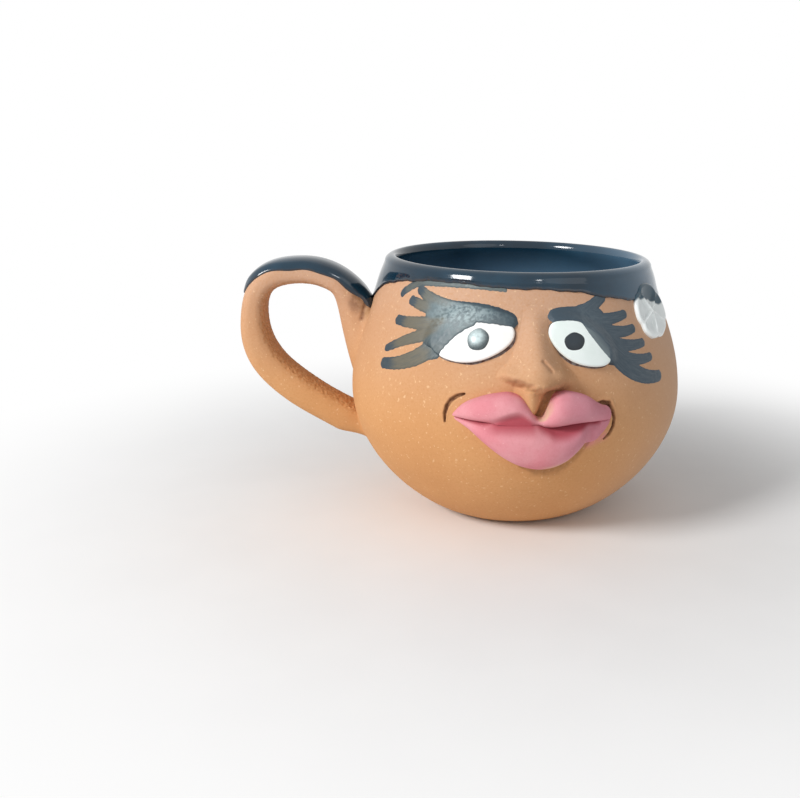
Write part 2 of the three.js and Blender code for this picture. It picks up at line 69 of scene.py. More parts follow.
class Slot(Enum):
    """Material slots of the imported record."""

    CLAY = "clay"
    GLAZE = "dark_glaze"
    EYE = "eye_white"
    PUPIL = "pupil_black"
    LASH = "lash_slip"
    LIP = "lip_slip"
    PETAL = "petal_glaze"


class Side(Enum):
    """The two sides of the face."""

    HANDLE = "handle_side"
    FLOWER = "flower_side"


# Plain sums


def portion(value: Array, low: float, high: float) -> Array:
    """Share of the way from low to high, held between 0 and 1."""
    return np.clip((value - low) / (high - low), 0.0, 1.0)


def soft_step(value: Array, low: float, high: float) -> Array:
    """Rises smoothly from 0 at low to 1 at high.

    Args:
        value: Numbers to grade.
        low: Where the rise starts.
        high: Where the rise ends.

    Returns:
        The graded numbers.
    """
    share = portion(value, low, high)
    return share * share * (3.0 - 2.0 * share)


def fade(value: Array, low: float, high: float) -> Array:
    """Falls smoothly from 1 at low to 0 at high."""
    return 1.0 - soft_step(value, low, high)


def plateau(value: Array, rise: Pair, fall: Pair) -> Array:
    """Rises smoothly from 0 to 1 over one range and falls back to 0 over another."""
    return soft_step(value, *rise) * fade(value, *fall)


def bell(gap: Array, half_width: Union[Array, float]) -> Array:
    """Falls softly from 1 at no gap to 0 past the half width."""
    return np.exp(-((gap / half_width) ** 2))


def unit(rows: Array) -> Array:
    """Rows scaled to a length of 1."""
    return rows / np.linalg.norm(rows, axis=1)[:, None]


@dataclass(frozen=True)
class Course:
    """A smooth curve through chosen points, each a place and the value there."""

    points: Tuple[Pair, ...]

    def at(self, wanted: Array) -> Array:
        """Reads the curve.

        Args:
            wanted: Places to read.

        Returns:
            The values at those places, held past both ends.
        """
        places, levels = np.array(self.points).T
        slopes = np.gradient(levels, places)
        first = np.clip(np.searchsorted(places, wanted) - 1, 0, len(places) - 2)
        span = places[first + 1] - places[first]
        t = np.clip((wanted - places[first]) / span, 0.0, 1.0)
        square = t * t
        cube = square * t
        return (
            (2 * cube - 3 * square + 1) * levels[first]
            + (cube - 2 * square + t) * span * slopes[first]
            + (3 * square - 2 * cube) * levels[first + 1]
            + (cube - square) * span * slopes[first + 1]
        )


def away(start: Pair, angle: float, reach: float) -> Pair:
    """The point at a reach from another, at an angle in degrees above the outward way."""
    slant = math.radians(angle)
    return (start[0] + reach * math.cos(slant), start[1] + reach * math.sin(slant))


def cubic(corners: Sequence[Line], t: Array) -> Array:
    """Points of a cubic curve.

    Args:
        corners: Its start, two handles and end.
        t: Shares of the way, one a row.

    Returns:
        The points, one a row.
    """
    start, leave, arrive, end = (np.asarray(corner, float) for corner in corners)
    s = 1.0 - t
    return s**3 * start + 3 * s * s * t * leave + 3 * s * t * t * arrive + t**3 * end


def bezier(corners: Sequence[Pair], count: int) -> Array:
    """A number of points along a cubic curve, one a row."""
    return cubic(corners, np.linspace(0.0, 1.0, count)[:, None])


def evenly(points: Array, count: int) -> Tuple[Array, float]:
    """Spaces points evenly along a line.

    Args:
        points: Points of the line, one a row.
        count: How many points to give.

    Returns:
        The new points, one a row, and the length of the line.
    """
    runs = np.concatenate([[0.0], np.cumsum(np.hypot(*np.diff(points, axis=0).T))])
    even = np.linspace(0.0, runs[-1], count)
    return np.stack([np.interp(even, runs, column) for column in points.T], axis=1), runs[-1]


def ripple(first: Array, second: Array, scale: float, seed: float) -> Array:
    """A soft unevenness between about -1 and 1 that is the same on every run.

    Args:
        first: One coordinate of the surface.
        second: The other coordinate.
        scale: Size of the waves.
        seed: Shifts the waves.

    Returns:
        The unevenness at each place.
    """
    a = first / scale
    b = second / scale
    waves = np.sin(1.7 * a + 2.3 * b + seed)
    waves = waves + np.sin(2.9 * a - 1.3 * b + 2.1 * seed)
    waves = waves + np.sin(3.7 * b - 0.8 * a + 0.7 * seed)
    return waves / 3.0


def line_distance(x: Array, y: Array, line: Line) -> Tuple[Array, Array]:
    """Distance from points to a line through given places.

    Args:
        x: One coordinate of the points.
        y: The other coordinate.
        line: Corners of the line.

    Returns:
        The distance and the share of the line's corners passed at the nearest place.
    """
    places = np.asarray(line, float)
    nearest = np.full(np.shape(x), np.inf)
    share = np.zeros(np.shape(x))
    legs = len(places) - 1
    for leg in range(legs):
        start = places[leg]
        run = places[leg + 1] - start
        t = ((x - start[0]) * run[0] + (y - start[1]) * run[1]) / (run @ run)
        t = np.clip(t, 0.0, 1.0)
        gap = np.hypot(x - start[0] - t * run[0], y - start[1] - t * run[1])
        share = np.where(gap < nearest, (leg + t) / legs, share)
        nearest = np.minimum(nearest, gap)
    return nearest, share


def beside(x: Array, y: Array, line: Line, half_width: Union[Array, float]) -> Array:
    """Fades softly from 1 on a line to 0 beside it.

    Args:
        x: One coordinate of the points.
        y: The other coordinate.
        line: Corners of the line.
        half_width: How wide the line is to each side.

    Returns:
        The faded number at each point.
    """
    gap, _ = line_distance(x, y, line)
    return bell(gap, half_width)


def round_axis(turn: Array, radius: Array, height: Array) -> Array:
    """Points at turns, radii and heights round the cup's axis, one a row."""
    return np.stack([radius * np.sin(turn), -radius * np.cos(turn), height], axis=-1)


# Modelling


class Bench:
    """The operators that the pieces are modelled with."""

    @staticmethod
    def clear() -> None:
        """Leaves nothing selected."""
        bpy.ops.object.select_all(action="DESELECT")

    @staticmethod
    def hold(piece: Piece) -> None:
        """Selects one piece and makes it the active one.

        Args:
            piece: The piece.
        """
        Bench.clear()
        piece.select_set(True)
        bpy.context.view_layer.objects.active = piece

    @staticmethod
    def take(name: str) -> Piece:
        """Names the piece just added.

        Args:
            name: Name of the piece and its mesh.

        Returns:
            The piece.
        """
        piece = bpy.context.object
        piece.name = name
        piece.data.name = name
        return piece

    @staticmethod
    def places(piece: Piece) -> Array:
        """Reads the vertices of a piece.

        Args:
            piece: The piece.

        Returns:
            Its vertices in millimetres, one a row.
        """
        flat = np.empty(len(piece.data.vertices) * 3, np.float32)
        piece.data.vertices.foreach_get("co", flat)
        return flat.reshape(-1, 3).astype(float) / MM

    @staticmethod
    def shape(piece: Piece, places: Array) -> None:
        """Moves the vertices of a piece.

        Args:
            piece: The piece.
            places: Where they go, in millimetres, one a row.
        """
        flat = (places * MM).astype(np.float32).ravel()
        piece.data.vertices.foreach_set("co", flat)
        piece.data.update()

    @staticmethod
    def sheet(name: str, columns: int, rows: int) -> Tuple[Piece, Array, Array]:
        """Adds a flat sheet that is then laid over a form.

        Args:
            name: Name of the piece.
            columns: Cells across.
            rows: Cells up.

        Returns:
            The piece, and for each vertex its share across and its share up.
        """
        Bench.clear()
        bpy.ops.mesh.primitive_grid_add(x_subdivisions=columns, y_subdivisions=rows, size=2.0)
        piece = Bench.take(name)
        spots = Bench.places(piece) * MM
        return piece, portion(spots[:, 0], -1.0, 1.0), portion(spots[:, 1], -1.0, 1.0)

    @staticmethod
    def spun(name: str, profile: Array, start: float, sweeps: Sequence[Tuple[float, int]]) -> Piece:
        """Draws a profile by extruding a vertex and spins it about the axis.

        Args:
            name: Name of the piece.
            profile: Radius and height of each point, one a row.
            start: Turn at which the profile is drawn, in radians.
            sweeps: Angle and step count of each part of the full turn.

        Returns:
            The piece, closed and with its faces outwards.
        """
        Bench.clear()
        bpy.ops.mesh.primitive_plane_add(size=MM)
        piece = Bench.take(name)
        spokes = np.array([math.sin(start), -math.cos(start), 0.0])
        points = profile[:, :1] * spokes + profile[:, 1:] * np.array([0.0, 0.0, 1.0])
        bpy.ops.object.mode_set(mode="EDIT")
        bpy.ops.mesh.merge(type="CENTER")
        bpy.ops.transform.translate(value=points[0] * MM)
        for step in np.diff(points, axis=0) * MM:
            bpy.ops.mesh.extrude_region_move(TRANSFORM_OT_translate={"value": step})
        bpy.ops.mesh.select_all(action="SELECT")
        for angle, steps in sweeps:
            bpy.ops.mesh.spin(steps=steps, angle=-angle, center=(0, 0, 0), axis=(0, 0, 1))
        bpy.ops.object.mode_set(mode="OBJECT")
        Bench.weld(piece, outwards=True)
        return piece

    @staticmethod
    def weld(piece: Piece, outwards: bool = False, capped: bool = False) -> None:
        """Merges doubles at seams and poles.

        Args:
            piece: The piece.
            outwards: Whether the faces of a closed form are turned outwards.
            capped: Whether open ends are filled.
        """
        Bench.hold(piece)
        bpy.ops.object.mode_set(mode="EDIT")
        bpy.ops.mesh.select_all(action="SELECT")
        bpy.ops.mesh.remove_doubles(threshold=WELD_GAP)
        if capped:
            bpy.ops.mesh.fill_holes(sides=0)
        if outwards:
            bpy.ops.mesh.select_all(action="SELECT")
            bpy.ops.mesh.normals_make_consistent(inside=False)
        bpy.ops.object.mode_set(mode="OBJECT")

    @staticmethod
    def trim(piece: Piece, keep: Array) -> None:
        """Deletes the faces of which no corner is kept.

        Args:
            piece: The piece.
            keep: For each vertex, whether it is kept.
        """
        mesh = piece.data
        corners = np.empty(len(mesh.loops), np.int32)
        mesh.loops.foreach_get("vertex_index", corners)
        starts = np.empty(len(mesh.polygons), np.int32)
        mesh.polygons.foreach_get("loop_start", starts)
        kept = np.add.reduceat(keep[corners].astype(np.int32), starts) > 0
        Bench.hold(piece)
        bpy.ops.object.mode_set(mode="EDIT")
        bpy.ops.mesh.select_mode(type="FACE")
        bpy.ops.mesh.select_all(action="DESELECT")
        bpy.ops.object.mode_set(mode="OBJECT")
        mesh.polygons.foreach_set("select", ~kept)
        bpy.ops.object.mode_set(mode="EDIT")
        bpy.ops.mesh.delete(type="FACE")
        bpy.ops.mesh.select_mode(type="VERT")
        bpy.ops.object.mode_set(mode="OBJECT")

    @staticmethod
    def stain(piece: Piece, name: str, values: Array) -> None:
        """Stores a number on each vertex for the finish to read."""
        layer = piece.data.attributes.new(name, "FLOAT", "POINT")
        layer.data.foreach_set("value", np.asarray(values, np.float32))

    @staticmethod
    def hand_over(piece: Piece, slot: Slot, finish: Material, nodes: Sequence[str]) -> None:
        """Smooths a piece, gives it its finish and sets it in place of its solids.

        Args:
            piece: The finished piece.
            slot: Its slot in the record; not used.
            finish: Its material.
            nodes: The solids it stands for.
        """
        Bench.hold(piece)
        bpy.ops.object.shade_smooth_by_angle(angle=SMOOTH_ANGLE)
        piece.data.materials.clear()
        piece.data.materials.append(finish)
        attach(piece, BODY)
        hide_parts(*nodes)
        log.info("%s: %d faces for %s", piece.name, len(piece.data.polygons), ", ".join(nodes))


# Finishes


class NodeDesk:
    """One node material and the few kinds of node that the finishes are mixed from."""

    def __init__(self, name: str) -> None:
        """Starts a material.

        Args:
            name: Name of the finish.
        """
        self.material = bpy.data.materials.new(name)
        self.material.use_nodes = True
        self.nodes = self.material.node_tree.nodes
        self.links = self.material.node_tree.links
        self.shader = self.nodes["Principled BSDF"]
        self.place = self.nodes.new("ShaderNodeTexCoord").outputs["Object"]

    def feed(self, source: Union[Socket, float, Colour], target: Socket) -> None:
        """Links a socket to another, or sets a plain value on it.

        Args:
            source: A socket, a number or a colour.
            target: The socket that is fed.
        """
        if isinstance(source, bpy.types.NodeSocket):
            self.links.new(source, target)
        elif isinstance(source, tuple):
            target.default_value = (*source, 1.0)
        else:
            target.default_value = source

    def plain(self, **values: float) -> None:
        """Sets values that are the same all over on the shader's own sockets."""
        for name, value in values.items():
            self.shader.inputs[name.replace("_", " ").title().replace("Ior", "IOR")].default_value = value

    def noise(
        self,
        scale: float,
        detail: float = 2.0,
        stretch: Optional[Colour] = None,
        source: Optional[Socket] = None,
    ) -> Socket:
        """Adds a noise texture.

        Args:
            scale: Waves in a metre, or in a unit of the source.
            detail: Depth of finer waves.
            stretch: Scale along each axis before the noise.
            source: Where the noise is read, Object coordinates if none.

        Returns:
            Its grey output.
        """
        texture = self.nodes.new("ShaderNodeTexNoise")
        texture.inputs["Scale"].default_value = scale
        texture.inputs["Detail"].default_value = detail
        start = source or self.place
        if stretch is not None:
            mapping = self.nodes.new("ShaderNodeMapping")
            mapping.inputs["Scale"].default_value = stretch
            self.links.new(start, mapping.inputs["Vector"])
            start = mapping.outputs["Vector"]
        self.links.new(start, texture.inputs["Vector"])
        return texture.outputs[0]

    def grade(self, value: Socket, low: float, high: float, start: float = 0.0, end: float = 1.0) -> Socket:
        """Maps a range of a value smoothly to another.

        Args:
            value: The value.
            low: Lower end of the range read.
            high: Upper end of the range read.
            start: What the lower end becomes.
            end: What the upper end becomes.

        Returns:
            The mapped value.
        """
        node = self.nodes.new("ShaderNodeMapRange")
        node.interpolation_type = "SMOOTHSTEP"
        self.links.new(value, node.inputs["Value"])
        for name, number in (("From Min", low), ("From Max", high), ("To Min", start), ("To Max", end)):
            node.inputs[name].default_value = number
        return node.outputs["Result"]

    def height(self) -> Socket:
        """Reads the height above the base.

        Returns:
            The height in metres.
        """
        node = self.nodes.new("ShaderNodeSeparateXYZ")
        self.links.new(self.place, node.inputs[0])
        return node.outputs["Z"]

    def stored(self, name: str, output: str) -> Socket:
        """Reads what is stored on the vertices of the piece.

        Args:
            name: Name it is stored under.
            output: Kind of output that is wanted.

        Returns:
            That output.
        """
        node = self.nodes.new("ShaderNodeAttribute")
        node.attribute_name = name
        return node.outputs[output]

    def stain(self, name: str) -> Socket:
        """A number stored on the vertices of the piece."""
        return self.stored(name, "Fac")

    def flow(self, name: str) -> Socket:
        """A vector stored on the vertices of the piece."""
        return self.stored(name, "Vector")

    def sum(self, first: Socket, second: Union[Socket, float], how: str = "ADD") -> Socket:
        """Joins two numbers by a sum of the named kind.

        Args:
            first: The first number.
            second: The second number.
            how: Kind of sum.

        Returns:
            The result.
        """
        node = self.nodes.new("ShaderNodeMath")
        node.operation = how
        self.feed(first, node.inputs[0])
        self.feed(second, node.inputs[1])
        return node.outputs[0]

    def times(self, first: Socket, second: Union[Socket, float]) -> Socket:
        """The product of two numbers."""
        return self.sum(first, second, "MULTIPLY")

    def mix(
        self,
        share: Union[Socket, float],
        under: Union[Socket, Colour],
        over: Union[Socket, Colour],
        how: str = "MIX",
    ) -> Socket:
        """Mixes two colours.

        Args:
            share: How much of the upper colour shows.
            under: The lower colour.
            over: The upper colour.
            how: Kind of mix.

        Returns:
            The mixed colour.
        """
        node = self.nodes.new("ShaderNodeMix")
        node.data_type = "RGBA"
        node.blend_type = how
        self.feed(share, node.inputs[0])
        self.feed(under, node.inputs[6])
        self.feed(over, node.inputs[7])
        return node.outputs[2]

    def bump(self, height: Socket, strength: float, depth: float, under: Optional[Socket] = None) -> Socket:
        """Adds a fine relief.

        Args:
            height: Grey height of the relief.
            strength: Share of the relief that shows.
            depth: Its depth in metres.
            under: A relief that this one lies over.

        Returns:
            The new normal.
        """
        node = self.nodes.new("ShaderNodeBump")
        node.inputs["Strength"].default_value = strength
        node.inputs["Distance"].default_value = depth
        self.links.new(height, node.inputs["Height"])
        if under is not None:
            self.links.new(under, node.inputs["Normal"])
        return node.outputs["Normal"]

    def done(self, colour: Socket, roughness: Union[Socket, float], normal: Socket) -> Material:
        """Joins everything to the shader.

        Args:
            colour: Base colour.
            roughness: Roughness, a socket or a number.
            normal: The relief.

        Returns:
            The finished material.
        """
        self.feed(colour, self.shader.inputs["Base Color"])
        self.feed(roughness, self.shader.inputs["Roughness"])
        self.feed(normal, self.shader.inputs["Normal"])
        return self.material


@dataclass(frozen=True)
class ClayFinish:
    """Bare, lightly sanded terracotta with fine grit and pale specks, and painted shade in its hollows and
    on the side away from the key lamp.
    """

    low: Colour = (0.640, 0.325, 0.135)
    high: Colour = (0.590, 0.362, 0.240)
    shade: Colour = (0.520, 0.235, 0.085)
    speck: Colour = (0.860, 0.620, 0.380)
    brown_stain_and_shade: Colour = (0.260, 0.140, 0.040)
    rose: Colour = (0.700, 0.250, 0.270)
    painted_shade: Colour = (0.105, 0.036, 0.017)
    painted_shade_grey: Colour = (0.605, 0.425, 0.310)

    def material(self) -> Material:
        """Mixes the finish.

        Returns:
            The node material of the clay.
        """
        desk = NodeDesk("fired_clay")
        warmth = desk.grade(desk.height(), 0.024, 0.056)
        colour = desk.mix(warmth, self.low, self.high)
        cloud = desk.noise(55.0, 4.0)
        colour = desk.mix(desk.grade(cloud, 0.35, 0.75, 0.0, 0.34), colour, self.shade)
        grit = desk.noise(2100.0, 3.0)
        colour = desk.mix(desk.grade(grit, 0.42, 0.75, 0.0, 0.30), colour, self.shade)
        fleck = desk.noise(1500.0, 1.0)
        colour = desk.mix(desk.grade(fleck, 0.66, 0.77, 0.0, 0.45), colour, self.speck)
        patch = desk.noise(900.0, 4.0)
        # Painted shade: the clay is made greyer on the side of the cup away from the key lamp.
        colour = desk.mix(desk.times(desk.stain("painted_shade_grey"), 0.75), colour, self.painted_shade_grey)
        # The first of these is a real brown stain by the nose and painted shade at the handle's upper root;
        # the last is painted shade and painted shadow.
        for name, tint in (("brown_stain_and_shade", self.brown_stain_and_shade), ("rose", self.rose), ("painted_shade", self.painted_shade)):
            worn = desk.times(desk.stain(name), desk.grade(patch, 0.3, 0.7, 0.55, 1.0))
            colour = desk.mix(worn, colour, tint)
        rough = desk.stain("grit")
        colour = desk.mix(desk.times(rough, desk.grade(grit, 0.3, 0.7, 0.1, 0.7)), colour, self.shade)
        grain = desk.bump(grit, 0.22, 0.00012)
        coarse = desk.times(desk.noise(1000.0, 4.0), rough)
        relief = desk.bump(coarse, 0.8, 0.0006, grain)
        relief = desk.bump(desk.noise(160.0, 2.0), 0.18, 0.0009, relief)
        desk.plain(specular_ior_level=0.28)
        return desk.done(colour, desk.grade(grit, 0.2, 0.8, 0.78, 0.92), relief)


@dataclass(frozen=True)
class GlazeFinish:
    """Dark blue-black gloss glaze, thinner and browner along its edge, with painted light making it paler
    blue inside and on one side.
    """

    deep: Colour = (0.004, 0.022, 0.042)
    blue: Colour = (0.009, 0.042, 0.074)
    painted_light_blue: Colour = (0.155, 0.285, 0.420)
    thin: Colour = (0.060, 0.034, 0.020)

    def material(self) -> Material:
        """Mixes the finish.

        Returns:
            The node material of the glaze.
        """
        desk = NodeDesk("dark_gloss_glaze")
        cloud = desk.noise(80.0, 3.0)
        colour = desk.mix(desk.grade(cloud, 0.3, 0.7), self.deep, self.blue)
        # Painted light: paler blue inside the cup and on the band away from the handle.
        colour = desk.mix(desk.stain("painted_light_blue"), colour, self.painted_light_blue)
        break_up = desk.grade(desk.noise(1400.0, 2.0), 0.35, 0.65, 0.35, 1.0)
        edge = desk.times(desk.stain("thin"), break_up)
        colour = desk.mix(edge, colour, self.thin)
        pits = desk.grade(desk.noise(1900.0, 1.0), 0.66, 0.78, 1.0, 0.0)
        relief = desk.bump(desk.noise(130.0, 2.0), 0.10, 0.0008)
        relief = desk.bump(pits, 0.05, 0.00008, relief)
        desk.plain(specular_ior_level=0.45)
        return desk.done(colour, desk.grade(cloud, 0.3, 0.7, 0.06, 0.11), relief)


@dataclass(frozen=True)
class WhiteSlipFinish:
    """White slip of an eye disc, slightly uneven, with a dark ring of painted shade at its foot."""

    name: str
    white: Colour
    dull: Colour
    edge: Colour = (0.080, 0.024, 0.013)

    def material(self) -> Material:
        """Mixes the finish.

        Returns:
            The node material of the slip.
        """
        desk = NodeDesk(self.name)
        cloud = desk.noise(260.0, 3.0)
        colour = desk.mix(desk.grade(cloud, 0.35, 0.7), self.white, self.dull)
        # Painted shade: a dark ring at the foot of the disc and on the ledge below it.
        worn = desk.times(desk.stain("edge"), desk.grade(desk.noise(1300.0, 3.0), 0.3, 0.7, 0.8, 1.0))
        colour = desk.mix(worn, colour, self.edge)
        relief = desk.bump(desk.noise(420.0, 3.0), 0.12, 0.00025)
        desk.plain(specular_ior_level=0.4)
        return desk.done(colour, desk.grade(cloud, 0.3, 0.7, 0.42, 0.56), relief)


@dataclass(frozen=True)
class PupilFinish:
    """Black slip of a pupil, with a painted highlight: a paler patch in its domed middle, towards the upper
    left.
    """

    name: str
    rim: Colour
    middle: Colour
    roughness: float

    def material(self) -> Material:
        """Mixes the finish.

        Returns:
            The node material of the pupil.
        """
        desk = NodeDesk(self.name)
        grain = desk.noise(1500.0, 3.0)
        # Painted highlight: the pupil is paler towards the upper left of its middle.
        shine = desk.times(desk.stain("middle"), desk.grade(grain, 0.25, 0.75, 0.72, 1.0))
        colour = desk.mix(shine, self.rim, self.middle)
        relief = desk.bump(grain, 0.2, 0.00010)
        desk.plain(specular_ior_level=0.5)
        dullness = desk.grade(grain, 0.2, 0.8, self.roughness, self.roughness + 0.12)
        return desk.done(colour, dullness, relief)


@dataclass(frozen=True)
class BrushSlipFinish:
    """Dark slip laid on with a brush, thin along the strokes and dense where it pooled, with a painted
    sheen in places.
    """

    name: str
    dense: Colour
    thin: Colour
    blue: Colour
    veil: Colour
    sheen: Colour
    sheen_share: float

    def material(self) -> Material:
        """Mixes the finish.

        Returns:
            The node material of the brushed slip.
        """
        desk = NodeDesk(self.name)
        streak = desk.noise(1.0, 4.0, (0.35, 4.5, 1.0), desk.flow("brush"))
        uneven = desk.grade(streak, 0.25, 0.75, -0.22, 0.22)
        load = desk.grade(desk.sum(desk.stain("load"), uneven), 0.0, 1.0)
        colour = desk.mix(desk.stain("blue"), self.thin, self.blue)
        colour = desk.mix(load, colour, self.dense)
        thin = desk.times(desk.stain("veil"), desk.grade(streak, 0.25, 0.75, 0.35, 0.85))
        colour = desk.mix(thin, colour, self.veil)
        grain = desk.noise(1300.0, 3.0)
        # Painted sheen: paler grainy glints in a patch of the brow.
        glint = desk.times(desk.grade(grain, 0.35, 0.65, 0.15, 1.0), desk.stain("shine"))
        glint = desk.times(glint, desk.grade(streak, 0.25, 0.75, 0.6, 1.0))
        colour = desk.mix(desk.times(glint, self.sheen_share), colour, self.sheen)
        relief = desk.bump(streak, 0.25, 0.00012)
        relief = desk.bump(grain, 0.25, 0.00010, relief)
        desk.plain(specular_ior_level=0.5)
        return desk.done(colour, desk.grade(grain, 0.25, 0.75, 0.40, 0.60), relief)


@dataclass(frozen=True)
class LipFinish:
    """Chalky rose slip over the clay, with painted shade deeper in the mouth line and mauve painted shade
    on one side.
    """

    rose: Colour = (0.690, 0.240, 0.275)
    pale: Colour = (0.735, 0.318, 0.348)
    deep: Colour = (0.400, 0.060, 0.082)
    bare: Colour = (0.680, 0.420, 0.300)
    dust: Colour = (0.860, 0.560, 0.540)
    painted_shade_mauve: Colour = (0.500, 0.220, 0.290)

    def material(self) -> Material:
        """Mixes the finish.

        Returns:
            The node material of the lips.
        """
        desk = NodeDesk("rose_slip")
        cloud = desk.noise(150.0, 4.0)
        colour = desk.mix(desk.grade(cloud, 0.35, 0.7), self.rose, self.pale)
        # Painted shade: mauve on the side of the lips away from the key lamp.
        colour = desk.mix(desk.stain("painted_shade_mauve"), colour, self.painted_shade_mauve)
        # Painted shade: darker red in the mouth line and where the lips meet softly.
        colour = desk.mix(desk.stain("deep"), colour, self.deep)
        grit = desk.noise(2200.0, 3.0)
        colour = desk.mix(desk.grade(grit, 0.45, 0.8, 0.0, 0.10), colour, self.deep)
        colour = desk.mix(desk.grade(desk.noise(1500.0, 1.0), 0.72, 0.80, 0.0, 0.4), colour, self.dust)
        worn = desk.times(desk.stain("bare"), desk.grade(desk.noise(700.0, 3.0), 0.3, 0.6, 0.6, 1.0))
        colour = desk.mix(worn, colour, self.bare)
        relief = desk.bump(grit, 0.2, 0.00012)
        relief = desk.bump(desk.noise(240.0, 3.0), 0.15, 0.0006, relief)
        desk.plain(specular_ior_level=0.28)
        return desk.done(colour, desk.grade(grit, 0.2, 0.8, 0.72, 0.88), relief)


@dataclass(frozen=True)
class PetalFinish:
    """Pearly white glaze, with dark glaze run over the upper petals and painted shade in their scoops."""

    white: Colour = (0.920, 0.965, 0.960)
    grey: Colour = (0.730, 0.785, 0.795)
    dark: Colour = (0.022, 0.066, 0.100)

    def material(self) -> Material:
        """Mixes the finish.

        Returns:
            The node material of the petals.
        """
        desk = NodeDesk("pearl_glaze")
        cloud = desk.noise(330.0, 3.0)
        colour = desk.mix(desk.grade(cloud, 0.35, 0.7, 0.0, 0.3), self.white, self.grey)
        # Painted shade: grey in the scooped hollows of the petals.
        colour = desk.mix(desk.stain("painted_hollow_shade"), colour, self.grey)
        colour = desk.mix(desk.stain("dip"), colour, self.dark)
        relief = desk.bump(desk.noise(300.0, 2.0), 0.12, 0.0004)
        desk.plain(specular_ior_level=0.5, coat_weight=0.15, coat_roughness=0.06)
        return desk.done(colour, desk.grade(cloud, 0.3, 0.7, 0.16, 0.26), relief)


# The cup


@dataclass
class Wall:
    """The thrown wall that every other piece is seated on.

    A flare and a lean are an angle in degrees and a reach, and an ease is one below and one above.
    """

    base_radius: float = 17.0
    base_flare: Pair = (17.0, 9.6)
    belly_radius: float = 39.0
    belly_height: float = 29.0
    belly_ease: Pair = (14.0, 11.0)
    rim_radius: float = 30.35
    rim_height: float = 58.0
    rim_lean: Pair = (22.0, 9.7)
    thickness: float = 3.4
    floor: Pair = (14.0, 4.0)
    lip_thickness: float = 2.2
    lip_pinch: float = 0.6
    unevenness: float = 0.10
    wave_sizes: Pair = (11.0, 5.0)
    wave_share: float = 0.3

    def __post_init__(self) -> None:
        """Works out the wall's curves and its normals once."""
        self.lip_radius = self.lip_thickness / 2.0
        self.lip_middle = (self.rim_radius - self.lip_radius, self.rim_height)
        inner_belly = self.belly_radius - self.thickness
        inner_rim = self.rim_radius - self.lip_thickness
        self.curve = self.section((self.base_radius, 0.0), self.belly_radius, self.rim_radius, 500)
        self.hollow = self.section(self.floor, inner_belly, inner_rim, 60)
        along = unit(np.gradient(self.curve, axis=0))
        self.normals = np.stack([along[:, 1], -along[:, 0]], axis=1)

    def section(self, foot: Pair, belly: float, rim: float, count: int) -> Array:
        """Draws one side of the wall from its foot over the belly to the rim.

        Args:
            foot: Radius and height where it starts.
            belly: Its radius at the belly.
            rim: Its radius at the rim.
            count: Points in each half.

        Returns:
            The points, one a row.
        """
        below, above = self.belly_ease
        lean, lean_reach = self.rim_lean
        middle = (belly, self.belly_height)
        top = (rim, self.rim_height)
        lower = (foot, away(foot, *self.base_flare), (belly, self.belly_height - below), middle)
        upper = (middle, (belly, self.belly_height + above), away(top, lean - 90.0, lean_reach), top)
        return np.concatenate([bezier(lower, count), bezier(upper, count)[1:]])

    def radius(self, height: Array) -> Array:
        """Radius of the outer wall at a height."""
        return np.interp(height, self.curve[:, 1], self.curve[:, 0])

    def normal(self, height: Array) -> Tuple[Array, Array]:
        """Outward normal of the outer wall.

        Args:
            height: Heights on the wall.

        Returns:
            The outward and the upward part of the normal.
        """
        out = np.interp(height, self.curve[:, 1], self.normals[:, 0])
        up = np.interp(height, self.curve[:, 1], self.normals[:, 1])
        return out, up

    def lip_roll(self, angle: Array, reach: float) -> Array:
        """Radius and height round the lip, which is pinched thinner on its inner side.

        Args:
            angle: Angles round the middle of the lip, from the outside over the top, in radians.
            reach: Radius of the roll.

        Returns:
            The points, one a row.
        """
        across = np.cos(angle)
        across = np.where(across < 0.0, self.lip_pinch * across, across)
        radius = self.lip_middle[0] + reach * across
        return np.stack([radius, self.lip_middle[1] + reach * np.sin(angle)], axis=-1)

    def throwing(self, turn: Array, height: Array) -> Array:
        """How far the hand-made wall lies inside the true form.

        Args:
            turn: Angle round the axis, in radians.
            height: Height on the wall.

        Returns:
            The lift, never above zero.
        """
        across = 34.0 * np.sin(turn)
        along = height + 17.0 * np.cos(turn)
        broad = ripple(across, along, self.wave_sizes[0], 0.4)
        fine = ripple(across, along, self.wave_sizes[1], 1.9) * self.wave_share
        waves = (broad + fine) / (1.0 + self.wave_share)
        foot = soft_step(height, 0.5, 6.0)
        return self.unevenness * foot * (waves - 1.0) / 2.0

    def place(self, turn: Array, height: Array, lift: Array) -> Array:
        """Points over the wall.

        Args:
            turn: Angle round the axis, in radians.
            height: Height of the foot of the lift.
            lift: How far the points stand off the wall.

        Returns:
            The points, one a row.
        """
        out, up = self.normal(height)
        lift = lift + self.throwing(turn, height)
        reach = self.radius(height) + out * lift
        return round_axis(turn, reach, height + up * lift)


@dataclass(frozen=True)
class Crease:
    """A line pressed into the wet clay, as turns in degrees and heights with half widths, with painted
    shade along it.
    """

    places: Tuple[Triple, ...]
    depth: float
    tone: float = 1.0
    burr: float = 0.08

    def press(self, wall: Wall, turn: Array, height: Array) -> Tuple[Array, Array]:
        """What the crease does to the wall.

        Args:
            wall: The wall.
            turn: Turns of the points, in radians.
            height: Heights of the points.

        Returns:
            The lift at each point, negative in the crease and a little positive beside it, and the share of
            painted shade there.
        """
        rows = np.array(self.places)
        reach = wall.radius(rows[:, 1]).mean()
        line = np.stack([np.radians(rows[:, 0]) * reach, rows[:, 1]], axis=1)
        gap, share = line_distance(turn * reach, height, line)
        gap = gap / np.interp(share, np.linspace(0.0, 1.0, len(rows)), rows[:, 2])
        groove = -self.depth * np.clip(1.0 - gap**2, 0.0, 1.0) ** 0.8
        burr = self.burr * bell(gap - 1.7, 0.5)
        return groove + burr, self.tone * fade(gap, 0.45, 1.35)


